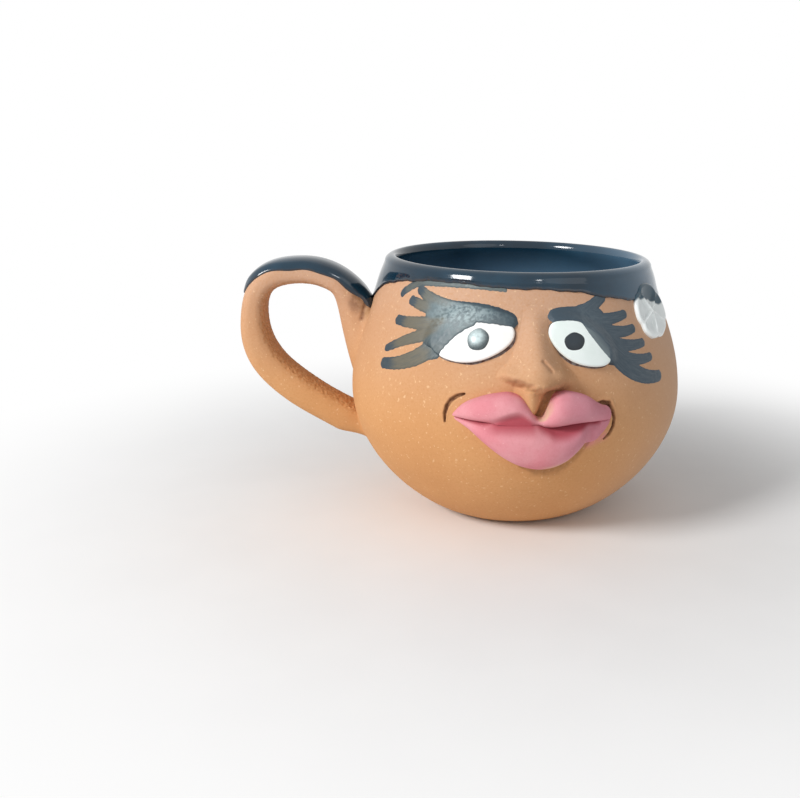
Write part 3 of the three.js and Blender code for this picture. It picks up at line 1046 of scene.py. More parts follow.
@dataclass
class CupBody:
    """The thrown cup, with creases pressed in beside the mouth and shade painted in them, below the nose
    and below the lower lip.
    """

    wall: Wall
    start: float = -29.0
    sweeps: Tuple[Tuple[float, int], ...] = ((8.5, 70), (40.0, 100), (8.5, 70), (303.0, 130))
    foot: Tuple[Pair, ...] = ((0.0, 0.0), (12.0, 0.0), (16.6, 0.0), (17.35, 0.22))
    floor: Tuple[Pair, ...] = ((7.0, 4.0), (0.0, 4.0))
    rows: Tuple[Tuple[float, float, int], ...] = (
        (0.7, 19.0, 14), (19.0, 24.5, 22), (24.5, 38.6, 112), (38.6, 58.0, 19),
    )
    deepest: float = -0.9
    smudge: Tuple[Pair, ...] = ((17.6, 25.2), (23.0, 26.6))
    smudge_reach: float = 38.0
    root_turn: float = -83.0
    root_height: float = 47.0
    creases: Tuple[Crease, ...] = (
        Crease(
            (
                (-21.7, 35.8, 0.26), (-23.8, 35.3, 0.42), (-25.9, 34.3, 0.48), (-27.2, 32.9, 0.48),
                (-27.8, 31.3, 0.40), (-27.7, 29.6, 0.24),
            ),
            0.6,
        ),
        Crease(((20.5, 33.9, 0.22), (22.4, 33.9, 0.46), (24.6, 33.4, 0.66)), 0.8),
        Crease(
            (
                (24.6, 33.4, 0.60), (26.0, 32.0, 0.45), (26.6, 30.2, 0.42), (26.3, 28.5, 0.42),
                (25.0, 26.9, 0.38), (23.2, 25.9, 0.20),
            ),
            0.7,
        ),
        # The slot beside the web under the nose, with painted shade in it.
        Crease(((4.9, 37.4, 1.0), (2.9, 34.6, 0.9), (0.8, 32.2, 0.6)), 0.4, tone=0.5, burr=0.0),
        # Painted shadow below the right of the nose, over a faint groove.
        Crease(((5.2, 37.2, 1.6), (8.2, 37.6, 1.4)), 0.05, tone=0.26, burr=0.0),
        # Painted shadow below the lower lip, over a shallow groove.
        Crease(
            (
                (-4.0, 20.5, 0.2), (-1.0, 20.0, 0.7), (2.0, 19.6, 1.3), (5.5, 19.7, 1.7),
                (9.3, 20.8, 1.8), (12.3, 22.2, 1.5), (15.3, 24.1, 1.0), (17.7, 25.5, 0.4),
            ),
            0.12,
            tone=0.44,
            burr=0.0,
        ),
    )

    def profile(self) -> Array:
        """Draws the section of the cup, from the base to the hollow's floor.

        Returns:
            Radius and height of each point, one a row.
        """
        levels = [np.linspace(low, high, rows, endpoint=False) for low, high, rows in self.rows]
        heights = np.concatenate([*levels, [self.wall.rim_height]])
        outer = np.stack([self.wall.radius(heights), heights], axis=1)
        angles = np.radians(np.linspace(35.0, 165.0, 8))
        lip = self.wall.lip_roll(angles, self.wall.lip_radius)
        inner = self.wall.hollow[::-6]
        return np.concatenate([self.foot, outer, lip, inner, self.floor])

    def build(self) -> Piece:
        """Spins the cup, makes it uneven and presses the creases in.

        Returns:
            The piece.
        """
        sweeps = [(math.radians(angle), steps) for angle, steps in self.sweeps]
        piece = Bench.spun("thrown_cup", self.profile(), math.radians(self.start), sweeps)
        places = Bench.places(piece)
        turn = np.arctan2(places[:, 0], -places[:, 1])
        height = places[:, 2]
        radius = np.hypot(places[:, 0], places[:, 1])
        upright = (height > 0.5) & (height < self.wall.rim_height + 0.01)
        outside = upright & (radius > self.wall.radius(height) - 0.5)
        lift = np.zeros(len(places))
        dark = np.zeros(len(places))
        # Each crease lowers the wall and paints shade along its groove.
        for crease in self.creases:
            pressed, line = crease.press(self.wall, turn, height)
            lift = lift + pressed
            dark = np.maximum(dark, line)
        moved = self.wall.place(turn, height, np.maximum(lift, self.deepest))
        Bench.shape(piece, np.where(outside[:, None], moved, places))
        Bench.stain(piece, "painted_shade", np.where(outside, dark, 0.0))
        self.stain(piece, turn, height)
        return piece

    def stain(self, piece: Piece, turn: Array, height: Array) -> None:
        """Marks where slip smudged, and paints shade beside the handle's upper root and on the side away
        from the key lamp.

        Args:
            piece: The cup.
            turn: Turn of each vertex, in radians.
            height: Height of each vertex.
        """
        reach = self.smudge_reach
        smudge = [(math.radians(side) * reach, level) for side, level in self.smudge]
        Bench.stain(piece, "rose", 0.75 * beside(turn * reach, height, smudge, 0.9))
        # Painted shade in the corner beside the front of the handle's upper root.
        root = np.hypot((turn - math.radians(self.root_turn)) * 30.0, (height - self.root_height) / 1.6)
        Bench.stain(piece, "brown_stain_and_shade", 0.35 * bell(root, 3.0))
        side = np.degrees(turn)
        # Painted shade: turns from about 10 to 178 degrees, away from the key lamp, are made greyer.
        Bench.stain(piece, "painted_shade_grey", plateau(side, (10.0, 84.0), (90.0, 178.0)))

    def dress(self, piece: Piece, clay: Material) -> None:
        """Gives the cup its clay."""
        Bench.hand_over(piece, Slot.CLAY, clay, ["cup_body"])


@dataclass(frozen=True)
class Root:
    """Where one end of the strap is worked into the wall.

    Values in threes are for the outer side of the strap, its front and back, and its inner side.
    """

    join: float
    end: float
    height: float
    outer_up: float
    reach: Triple
    lead: Triple
    spread: Triple
    heave: Triple

    def way(self, share: Array) -> Array:
        """Share of the way from the join to the wall, 0 along the free strap."""
        return portion(share, self.join, self.end)

    @staticmethod
    def around(values: Triple, angle: Array) -> Array:
        """Reads three values round the strap.

        Args:
            values: What they are on the outer side, at front and back, and on the inner side.
            angle: Angles round the strap from its outer side, in radians.

        Returns:
            The value at each angle.
        """
        cos = np.cos(angle)
        outer = np.where(cos > 0.0, cos * cos, 0.0)
        inner = np.where(cos < 0.0, cos * cos, 0.0)
        return values[0] * outer + values[1] * np.sin(angle) ** 2 + values[2] * inner


@dataclass
class Handle:
    """The pulled strap, blended into the wall at both roots, and the glaze run over its top."""

    wall: Wall
    half_thickness: Pair = (2.75, 3.95)
    thickening: Pair = (0.38, 0.66)
    half_width: float = 5.35
    squareness: float = 2.7
    crest: Pair = (50.05, 55.6)
    outer: Pair = (61.2, 44.4)
    upper_height: float = 44.0
    lower_height: float = 17.7
    root_depth: float = 2.5
    upper_lead: Pair = (58.0, 8.5)
    crest_ease: float = 7.5
    outer_ease: Pair = (8.5, 11.5)
    lower_lead: Pair = (28.0, 20.0)
    glaze_share: float = 0.43
    glaze_lift: float = 0.80
    glaze_reach: Pair = (70.0, 12.0)
    glaze_narrowing: float = 0.48
    girth: float = 4.2
    crevice: Tuple[Pair, ...] = ((-35.3, 49.6), (-35.9, 47.5), (-36.4, 45.5))
    # Middle of a patch of painted shade at the front of the upper root.
    painted_shade: Pair = (-37.6, 49.2)
    upper_root: Root = Root(
        join=0.165, end=0.0, height=43.5, outer_up=1.0,
        reach=(5.1, 6.6, 11.2), lead=(4.0, 4.5, 2.4), spread=(-1.9, 3.2, 11.0), heave=(1.8, 0.4, 4.4),
    )
    lower_root: Root = Root(
        join=0.895, end=1.0, height=19.4, outer_up=-1.0,
        reach=(4.4, 5.9, 5.6), lead=(3.0, 3.0, 3.0), spread=(4.5, 0.9, 0.4), heave=(0.4, 0.0, 0.0),
    )

    def __post_init__(self) -> None:
        """Works out the line of the strap once."""
        upper = (float(self.wall.radius(self.upper_height)) - self.root_depth, self.upper_height)
        lower = (float(self.wall.radius(self.lower_height)) - self.root_depth, self.lower_height)
        crest = self.crest
        outer = self.outer
        legs = (
            (upper, away(upper, *self.upper_lead), away(crest, 180.0, self.crest_ease), crest),
            (crest, away(crest, 0.0, self.crest_ease), away(outer, 90.0, self.outer_ease[0]), outer),
            (outer, away(outer, -90.0, self.outer_ease[1]), away(lower, *self.lower_lead), lower),
        )
        points = np.concatenate([bezier(leg, 200) for leg in legs])
        self.line, self.length = evenly(points, 600)
        self.along = unit(np.gradient(self.line, axis=0))

    def rounded(self, angle: Array) -> Tuple[Array, Array]:
        """Rounds the strap's section.

        Args:
            angle: Angles round the strap from its outer side, in radians.

        Returns:
            Shares of the half thickness and of the half width.
        """
        power = 2.0 / self.squareness
        cos = np.sign(np.cos(angle)) * np.abs(np.cos(angle)) ** power
        sin = np.sign(np.sin(angle)) * np.abs(np.sin(angle)) ** power
        return cos, sin

    def free(self, share: Array, angle: Array, lift: Array) -> Tuple[Array, Array]:
        """Points over the strap between its roots.

        Args:
            share: Share of the way from the upper to the lower root.
            angle: Angle round the strap from its outer side, in radians, positive to the back.
            lift: How far the points stand off the strap.

        Returns:
            The points and the way the strap runs there, one a row.
        """
        even = np.linspace(0.0, 1.0, len(self.line))
        out, up, run_out, run_up = (
            np.interp(share, even, column)
            for column in (*self.line.T, *self.along.T)
        )
        cos, sin = self.rounded(angle)
        uneven = ripple(share * self.length, 4.0 * np.cos(angle) + 3.0 * np.sin(angle), 7.0, 0.9)
        slim, full = self.half_thickness
        thick = slim + (full - slim) * soft_step(share, *self.thickening)
        thick = thick * (1.0 + 0.03 * uneven - 0.03)
        wide = self.half_width * (1.0 + 0.02 * uneven - 0.02)
        slope = np.stack([
            np.sign(cos) * np.abs(cos) ** (self.squareness - 1.0) / thick,
            np.sign(sin) * np.abs(sin) ** (self.squareness - 1.0) / wide,
        ], axis=1)
        face = np.stack([cos * thick, sin * wide], axis=1) + unit(slope) * lift[:, None]
        points = np.stack([run_up * face[:, 0] - out, face[:, 1], up + run_out * face[:, 0]], axis=1)
        return points, np.stack([-run_out, np.zeros(len(out)), run_up], axis=1)

    def foot(self, root: Root, angle: Array, lift: Array) -> Tuple[Array, Array, Array]:
        """The line in which a root meets the wall.

        Args:
            root: The root.
            angle: Angle round the strap.
            lift: How far the line is grown.

        Returns:
            Points just inside the wall, the way along the wall there and the wall's normal.
        """
        cos, sin = self.rounded(angle)
        rise = np.where(cos > 0.0, root.reach[0], root.reach[2]) + lift
        above = root.outer_up * rise * cos
        aside = (root.reach[1] + lift) * sin
        height = root.height + above
        swing = aside / self.wall.radius(height)
        out, up = self.wall.normal(height)
        radial = np.stack([-np.cos(swing), np.sin(swing), np.zeros(len(swing))], axis=1)
        side = np.stack([np.sin(swing), np.cos(swing), np.zeros(len(swing))], axis=1)
        axis = np.array([0.0, 0.0, 1.0])
        upward = out[:, None] * axis - up[:, None] * radial
        normal = out[:, None] * radial + up[:, None] * axis
        along = unit(aside[:, None] * side + above[:, None] * upward)
        points = self.wall.place(-math.pi / 2.0 - swing, height, np.full(len(swing), -0.15))
        return points, along, normal

    def place(self, share: Array, angle: Array, lift: Array) -> Array:
        """Points over the strap and its roots.

        Args:
            share: Share of the way from the upper to the lower root.
            angle: Angle round the strap from its outer side, in radians, positive to the back.
            lift: How far the points stand off the strap.

        Returns:
            The points, one a row.
        """
        points, _ = self.free(share, angle, lift)
        for root, ahead in ((self.upper_root, -1.0), (self.lower_root, 1.0)):
            start, run = self.free(np.full(len(share), root.join), angle, lift)
            end, along, normal = self.foot(root, angle, lift)
            lead = root.around(root.lead, angle)[:, None]
            spread = root.around(root.spread, angle)[:, None]
            heave = root.around(root.heave, angle)[:, None]
            leave = start + ahead * run * lead
            arrive = end - along * spread + normal * heave
            t = root.way(share)[:, None]
            points = np.where(t > 0.0, cubic((start, leave, arrive, end), t), points)
        return points

    def build(self) -> Piece:
        """Rolls a sheet round the line of the strap.

        Returns:
            The piece.
        """
        piece, share, around = Bench.sheet("pulled_handle", columns=280, rows=112)
        angle = -2.0 * math.pi * around
        inner = soft_step(-np.cos(angle), 0.30, 0.75)
        free = plateau(share, (0.10, 0.20), (0.93, 0.99))
        chips = np.abs(ripple(share * self.length, 5.0 * np.sin(angle), 0.8, 2.0))
        places = self.place(share, angle, -0.22 * inner * free * chips)
        front = soft_step(-np.sin(angle), 0.2, 0.5) * (share < 0.3)
        # Painted shade along the crevice at the front of the upper root, where the points are also moved a
        # little.
        line = front * beside(places[:, 0], places[:, 2], self.crevice, 0.45)
        places[:, 1] = places[:, 1] + 0.35 * line
        Bench.shape(piece, places)
        Bench.stain(piece, "grit", inner * free)
        # Painted shade on the top of the strap where it meets the wall at its upper root.
        root = fade(share, 0.08, 0.19)
        top = soft_step(np.cos(angle), 0.0, 0.55)
        Bench.stain(piece, "brown_stain_and_shade", 0.55 * root * top)
        # Painted shade along the crevice and in a patch at the front of the upper root.
        patch = np.hypot((places[:, 0] - self.painted_shade[0]) / 1.7, (places[:, 2] - self.painted_shade[1]) / 2.4)
        Bench.stain(piece, "painted_shade", np.maximum(0.8 * line, 0.6 * front * np.exp(-(patch**4))))
        Bench.weld(piece, outwards=True, capped=True)
        return piece

    def glaze_wrap(self, share: Array, back: Array) -> Array:
        """How far the glaze comes round the strap at each share of its run, in radians.

        Args:
            share: Share of the strap's own length.
            back: 1 on the back side and -1 on the front.

        Returns:
            The angle of its edge.
        """
        run = portion(share, 0.0, self.glaze_share)
        wave = 0.05 * np.sin(run * 31.0 + back) + 0.04 * np.sin(run * 17.0 - 2.0 * back)
        least, more = np.radians(self.glaze_reach)
        full = least + more * np.sin(run * 3.0)
        full = full * (1.0 - self.glaze_narrowing * fade(share, 0.03, 0.15))
        return (full + wave) * np.sqrt(np.clip(1.0 - run**5, 0.0, 1.0))

    def build_glaze(self) -> Piece:
        """Lays the run of glaze over the top of the strap.

        Returns:
            The piece.
        """
        piece, along, around = Bench.sheet("handle_glaze_run", columns=110, rows=60)
        share = self.glaze_share * along
        swing = 1.0 - 2.0 * around
        reach = self.glaze_wrap(share, np.sign(swing))
        inward = 1.0 - np.abs(swing)
        girth = reach * self.girth
        edge = np.minimum(inward * girth, (1.0 - along) * self.glaze_share * self.length * 0.8)
        thick = self.glaze_lift * (0.45 + 0.55 * soft_step(edge, 0.2, 2.6))
        lift = thick * np.sqrt(portion(edge, 0.0, 0.55)) - 0.12 * (edge < 0.02)
        Bench.shape(piece, self.place(share, swing * reach, lift))
        Bench.stain(piece, "thin", 0.8 * fade(edge, 0.05, 0.8))
        Bench.weld(piece)
        return piece

    def dress(self, strap: Piece, run: Piece, clay: Material, glaze: Material) -> None:
        """Gives the strap its clay and the run its glaze."""
        Bench.hand_over(strap, Slot.CLAY, clay, ["handle"])
        Bench.hand_over(run, Slot.GLAZE, glaze, ["handle_glaze"])


@dataclass
class GlazeLining:
    """The glaze poured inside, over the lip and down to a wavy edge outside."""

    wall: Wall
    lip_lift: float = 0.9
    lip_thinning: float = 0.6
    edge_lift: float = 0.42
    roll_height: float = 0.35
    roll_share: float = 0.06
    band_share: float = 0.26
    lip_share: float = 0.44
    lip_sweep: Pair = (22.0, 173.0)
    inner_top: float = 57.3
    floor_reach: float = 22.0
    edge_line: Course = Course((
        (-180.0, 52.4), (-140.0, 52.2), (-112.0, 51.4), (-98.0, 49.6), (-89.0, 49.8), (-80.0, 52.6),
        (-72.0, 54.3), (-60.0, 55.7), (-47.0, 56.7), (-37.0, 57.1), (-24.0, 57.05), (-12.0, 56.7),
        (2.0, 56.6), (18.0, 55.9), (28.0, 54.8), (44.0, 53.3), (60.0, 52.4), (80.0, 52.0),
        (110.0, 52.1), (140.0, 52.3), (180.0, 52.4),
    ))

    def edge(self, turn: Array) -> Array:
        """Height of the outer edge of the glaze at a turn in radians."""
        height = self.edge_line.at(np.degrees(turn))
        return height + 0.10 * np.sin(turn * 23.0) + 0.07 * np.sin(turn * 57.0 + 1.0)

    def band(self, turn: Array, along: Array) -> Tuple[Array, Array]:
        """Points of the band outside the lip.

        Args:
            turn: Turns of the points, in radians.
            along: Shares of the way from the outer edge to the middle of the floor.

        Returns:
            The points, one a row, and how far each lies above the edge.
        """
        edge = self.edge(turn)
        curl = portion(along, 0.0, self.roll_share)
        bulge = np.sqrt(np.clip(1.0 - (1.0 - curl) ** 2, 0.0, 1.0))
        climb = portion(along, self.roll_share, self.band_share)
        thick = self.edge_lift + (self.lip_lift - self.edge_lift) * soft_step(climb, 0.0, 0.8)
        above = self.roll_height * curl + (self.wall.rim_height - edge - self.roll_height) * climb
        return self.wall.place(turn, edge + above, thick * bulge - 0.12 * (curl < 0.01)), above

    def over_lip(self, turn: Array, along: Array) -> Array:
        """Points of the roll over the lip.

        Args:
            turn: Turns of the points, in radians.
            along: Shares of the way from the outer edge to the middle of the floor.

        Returns:
            The points, one a row.
        """
        share = (along - self.band_share) / (self.lip_share - self.band_share)
        start, sweep = self.lip_sweep
        angle = np.radians(start + sweep * share)
        return round_axis(turn, *self.wall.lip_roll(angle, self.wall.lip_radius + self.lip_lift).T)

    def inside(self, turn: Array, along: Array) -> Array:
        """Points of the coat inside the cup.

        Args:
            turn: Turns of the points, in radians.
            along: Shares of the way from the outer edge to the middle of the floor.

        Returns:
            The points, one a row.
        """
        line = self.wall.hollow[::-1]
        slope = unit(np.gradient(line, axis=0))
        coat = self.lip_lift - self.lip_thinning * soft_step(line[:, 1], 42.0, 57.5)
        line = line + np.stack([slope[:, 1], -slope[:, 0]], axis=1) * coat[:, None]
        line = line[line[:, 1] < self.inner_top]
        line, _ = evenly(np.concatenate([line, [[0.0, line[-1, 1]]]]), 600)
        eased = np.convolve(np.pad(line[:, 1], 40, mode="edge"), np.full(81, 1.0 / 81.0), mode="valid")
        line[:, 1] = np.where(line[:, 0] < self.floor_reach, eased, line[:, 1])
        share = portion(along, self.lip_share, 1.0)
        even = np.linspace(0.0, 1.0, len(line))
        return round_axis(turn, *(np.interp(share, even, column) for column in line.T))

    def build(self) -> Piece:
        """Rolls a sheet from the outer edge over the lip and down to the middle of the floor.

        Returns:
            The piece.
        """
        piece, across, along = Bench.sheet("poured_glaze", columns=260, rows=120)
        turn = math.pi * (2.0 * across - 1.0)
        outside = along <= self.band_share
        band, above = self.band(turn, along)
        places = np.where(outside[:, None], band, self.over_lip(turn, along))
        places = np.where((along > self.lip_share)[:, None], self.inside(turn, along), places)
        Bench.shape(piece, places)
        side = np.degrees(turn)
        # Painted light: a paler blue on the side away from the handle and all over the inside.
        sunny = 0.44 * plateau(side, (16.0, 64.0), (95.0, 165.0))
        deep = soft_step(along, self.lip_share - 0.02, self.lip_share + 0.10)
        Bench.stain(piece, "painted_light_blue", np.maximum(deep, sunny))
        Bench.stain(piece, "thin", 0.7 * fade(above, 0.1, 0.7) * outside)
        Bench.weld(piece)
        return piece

    def dress(self, piece: Piece, glaze: Material) -> None:
        """Gives the lining its glaze."""
        Bench.hand_over(piece, Slot.GLAZE, glaze, ["glaze_lining"])


# The face


@dataclass(frozen=True)
class Stroke:
    """One brush stroke: start, bend and tip across and above the eye line, with its width and load."""

    start: Pair
    bend: Pair
    tip: Pair
    wide: Pair
    load: Pair
    blue: float = 0.0


@dataclass(frozen=True)
class Brushwork:
    """The joined strokes of the brow, lid and lashes on one side, with uneven edges."""

    strokes: Sequence[Stroke]
    wobble: float
    samples: int = 60

    def read(self, x: Array, y: Array) -> Dict[str, Array]:
        """Reads the brushwork at places on the face.

        Args:
            x: Places across.
            y: Places above the eye line.

        Returns:
            The depth inside the painted edge, the load of slip, how blue it is, and the places along
            and across the nearest stroke.
        """
        t = np.linspace(0.0, 1.0, self.samples)
        found: Dict[str, List[Array]] = {"inside": [], "load": [], "blue": [], "along": [], "across": []}
        for order, stroke in enumerate(self.strokes):
            start, bend, tip = (np.array(place) for place in (stroke.start, stroke.bend, stroke.tip))
            line = np.outer((1 - t) ** 2, start) + np.outer(2 * t * (1 - t), bend) + np.outer(t * t, tip)
            half = (stroke.wide[0] + (stroke.wide[1] - stroke.wide[0]) * t) / 2.0
            gap = np.hypot(x[:, None] - line[:, 0], y[:, None] - line[:, 1])
            depth = half - gap
            best = depth.argmax(axis=1)
            rows = np.arange(len(x))
            share = t[best]
            along = unit(np.gradient(line, axis=0))
            offset = np.stack([x, y], axis=1) - line[best]
            found["inside"].append(depth[rows, best])
            first, last = stroke.load
            found["load"].append(first + (last - first) * soft_step(share, 0.70, 0.98))
            found["blue"].append(np.full(len(x), stroke.blue))
            length = np.hypot(*(tip - start))
            found["along"].append(share * length + 17.0 * order)
            found["across"].append(offset[:, 1] * along[best, 0] - offset[:, 0] * along[best, 1])
        inside = np.stack(found["inside"])
        top = inside.argmax(axis=0)
        columns = np.arange(len(x))
        weight = np.exp(np.clip(inside * 2.5, -40.0, 12.0))
        result = {
            name: np.stack(found[name])[top, columns] for name in ("inside", "along", "across")
        }
        for name in ("load", "blue"):
            result[name] = (np.stack(found[name]) * weight).sum(axis=0) / weight.sum(axis=0)
        result["inside"] = result["inside"] + self.wobble * ripple(x, y, 0.55, 0.3)
        return result


@dataclass
class Eye:
    """One eye: a white slip disc, its pupil and the brushed lid and lashes."""

    wall: Wall
    side: Side
    brush: Brushwork
    middle: Pair
    half: Pair
    tilt: float
    look: Pair
    pupil_half: Pair
    pupil_height: float
    pupil_dome: float
    shine: Tuple[float, float, float, float]
    patch: Tuple[float, float, float, float]
    line_height: float = 47.0
    top: float = 1.15
    round_edge: float = 0.5
    undercut: float = 0.2
    ledge: float = 0.12
    foot: float = 0.24
    shoulder: float = 0.42
    drape: float = 2.3
    cell: float = 0.17
    crown: float = 0.10
    pupil_rim: float = 0.15
    gap: Pair = (0.35, 0.30)
    gap_turn: float = -40.0
    lean: float = 0.0
    veil_share: float = 1.0
    slip_lift: float = 0.10

    def __post_init__(self) -> None:
        """Works out the radius that places across the face are measured at."""
        self.reach = float(self.wall.radius(self.line_height))

    def on_wall(self, x: Array, y: Array, lift: Array) -> Array:
        """Points over the wall at places across and above the eye line."""
        return self.wall.place(x / self.reach, self.line_height + y, lift)

    def crest(self, y: Array) -> Array:
        """Lift of the flat of the disc at places above the eye line."""
        up = np.clip(y - self.middle[1] + self.half[1], 0.0, 2.0 * self.half[1])
        return self.top - self.lean * up

    def on_disc(self, angle: Array, out: Array, inward: Array) -> Tuple[Array, Array]:
        """Places on the disc.

        Args:
            angle: Angle round the disc.
            out: How far outside its rim the places lie.
            inward: Share of the way to its middle.

        Returns:
            Places across and places above the eye line.
        """
        uneven = 1.0 + 0.012 * np.sin(3.0 * angle + 1.0) + 0.010 * np.sin(5.0 * angle + self.tilt)
        x = (self.half[0] * uneven + out) * (1.0 - inward) * np.cos(angle)
        y = (self.half[1] * uneven + out) * (1.0 - inward) * np.sin(angle)
        slant = math.radians(self.tilt)
        across = self.middle[0] + x * math.cos(slant) - y * math.sin(slant)
        above = self.middle[1] + x * math.sin(slant) + y * math.cos(slant)
        return across, above

    def build_disc(self) -> Piece:
        """Forms the white disc, undercut at its foot and with a dark ring of painted shade left below it in
        the gap.

        Returns:
            The piece.
        """
        piece, around, up = Bench.sheet(f"{self.side.value}_eye_disc", columns=120, rows=34)
        angle = 2.0 * math.pi * around
        low = soft_step(-np.sin(angle), -0.5, 0.35)
        turned = (np.degrees(angle) - self.gap_turn + 180.0) % 360.0 - 180.0
        gap = self.gap[0] + self.gap[1] * bell(turned, 35.0)
        gap = gap * (0.1 + 0.9 * low) * (1.0 + 0.2 * np.sin(7.0 * angle) + 0.15 * np.sin(11.0 * angle))
        sill = portion(up, 0.0, self.ledge)
        rise = portion(up, self.ledge, self.foot)
        bend = portion(up, self.foot, self.shoulder) * math.pi / 2.0
        inward = portion(up, self.shoulder, 1.0)
        out = gap * (1.0 - sill) - self.undercut * sill * (1.0 - rise)
        out = out - self.round_edge * (1.0 - np.cos(bend))
        x, y = self.on_disc(angle, out, inward)
        lift = -0.05 + 0.08 * soft_step(sill, 0.0, 0.2) + (self.crest(y) - self.round_edge - 0.03) * rise
        lift = lift + self.round_edge * np.sin(bend) + self.crown * inward * (2.0 - inward)
        Bench.shape(piece, self.on_wall(x, y, lift))
        # Painted shade at the foot of the disc and on the ledge below it.
        Bench.stain(piece, "edge", fade(up, self.foot - 0.05, self.foot + 0.03))
        Bench.weld(piece)
        return piece

    def build_lid(self) -> Piece:
        """Lays the brushed slip of the lid over the disc, where the strokes cross it.

        Returns:
            The piece.
        """
        piece, around, up = Bench.sheet(f"{self.side.value}_lid_slip", columns=300, rows=96)
        angle = 2.0 * math.pi * around
        climb = portion(up, 0.0, self.shoulder)
        inward = portion(up, self.shoulder, 1.0)
        bend = np.clip(2.0 * climb - 1.0, 0.0, 1.0) * math.pi / 2.0
        draped = soft_step(np.sin(angle), -0.42, 0.05)
        tight_out = 0.08 - self.round_edge * (1.0 - np.cos(bend))
        loose_out = self.drape * (1.0 - climb) - self.round_edge * climb
        x, y = self.on_disc(angle, tight_out + (loose_out - tight_out) * draped, inward)
        tight_lift = (self.crest(y) - self.round_edge) * np.clip(2.0 * climb, 0.0, 1.0)
        tight_lift = tight_lift + self.round_edge * np.sin(bend)
        loose_lift = 0.05 + (self.crest(y) - 0.05) * soft_step(climb, 0.0, 1.0)
        read = self.brush.read(x, y)
        # Painted shade: the slip on the steep side of the disc below the lid is darkened.
        read["load"] = read["load"] + 0.9 * (1.0 - climb) * (1.0 - draped)
        lift = tight_lift + (loose_lift - tight_lift) * draped + self.crown * inward * (2.0 - inward)
        lift = lift + np.clip(read["inside"] * 0.35, -0.30, self.slip_lift)
        Bench.shape(piece, self.on_wall(x, y, lift))
        self.mark(piece, read, x, y)
        thin = fade(read["inside"], 0.2, 2.4)
        Bench.stain(piece, "veil", self.veil_share * thin * soft_step(inward, 0.0, 0.08))
        Bench.trim(piece, read["inside"] > -0.45)
        Bench.weld(piece)
        return piece

    def build_lashes(self) -> Piece:
        """Lays the brushed slip of the brow and lashes on the wall.

        Returns:
            The piece.
        """
        left, right, low, high = self.patch
        columns = int((right - left) / self.cell)
        rows = int((high - low) / self.cell)
        piece, across, up = Bench.sheet(f"{self.side.value}_lash_slip", columns, rows)
        x = left + (right - left) * across
        y = low + (high - low) * up
        read = self.brush.read(x, y)
        lift = np.clip(read["inside"] * 0.35, -0.25, self.slip_lift)
        Bench.shape(piece, self.on_wall(x, y, lift))
        self.mark(piece, read, x, y)
        Bench.trim(piece, read["inside"] > -0.45)
        return piece

    def mark(self, piece: Piece, read: Dict[str, Array], x: Array, y: Array) -> None:
        """Stores the load, tone, shine and direction of the brush on a piece.

        Args:
            piece: The slip.
            read: What the brushwork says there.
            x: Places across.
            y: Places above the eye line.
        """
        Bench.stain(piece, "load", read["load"] + 0.20 * fade(read["inside"], 0.0, 0.35))
        Bench.stain(piece, "blue", read["blue"])
        # Painted sheen: where the paler glints of the finish show.
        spot = ((x - self.shine[0]) / self.shine[2]) ** 2 + ((y - self.shine[1]) / self.shine[3]) ** 2
        Bench.stain(piece, "shine", np.exp(-spot) * soft_step(read["inside"], 0.1, 0.7))
        flow = np.stack([read["along"], read["across"], np.zeros(len(y))], axis=1)
        layer = piece.data.attributes.new("brush", "FLOAT_VECTOR", "POINT")
        layer.data.foreach_set("vector", flow.astype(np.float32).ravel())

    def build_pupil(self) -> Piece:
        """Forms the pupil, domed or flat, on the disc.

        Returns:
            The piece.
        """
        piece, around, up = Bench.sheet(f"{self.side.value}_pupil_spot", columns=64, rows=18)
        angle = 2.0 * math.pi * around
        share = 1.0 - portion(up, self.pupil_rim, 1.0)
        uneven = 1.0 + 0.03 * np.sin(2.0 * angle + 0.6) + 0.02 * np.sin(5.0 * angle)
        radius = uneven * share
        crown = self.pupil_height * (1.0 - share**self.pupil_dome) ** 0.6
        x = self.middle[0] + self.look[0] + self.pupil_half[0] * radius * np.cos(angle)
        y = self.middle[1] + self.look[1] + self.pupil_half[1] * radius * np.sin(angle)
        lift = self.crest(y) + 0.02 + crown - 0.15 * (1.0 - portion(up, 0.0, self.pupil_rim))
        Bench.shape(piece, self.on_wall(x, y, lift))
        # Painted highlight, strongest towards the upper left of the pupil.
        lit = np.hypot(share * np.cos(angle) + 0.15, share * np.sin(angle) - 0.2)
        Bench.stain(piece, "middle", fade(lit, 0.35, 1.05))
        Bench.weld(piece)
        return piece

    def build(self) -> Tuple[Piece, ...]:
        """Builds the disc, the pupil, the lid and the lashes."""
        return self.build_disc(), self.build_pupil(), self.build_lid(), self.build_lashes()

    def dress(self, pieces: Sequence[Piece], white: Material, pupil: Material, slip: Material) -> None:
        """Gives the pieces of the eye their finishes.

        Args:
            pieces: The disc, the pupil, the lid and the lashes.
            white: Finish of the disc.
            pupil: Finish of the pupil.
            slip: Finish of the lid and the lashes.
        """
        kinds = (
            ("eye", Slot.EYE, white),
            ("pupil", Slot.PUPIL, pupil),
            ("lid", Slot.LASH, slip),
            ("lashes", Slot.LASH, slip),
        )
        for piece, (part, slot, finish) in zip(pieces, kinds):
            Bench.hand_over(piece, slot, finish, [f"{self.side.value}_{part}"])


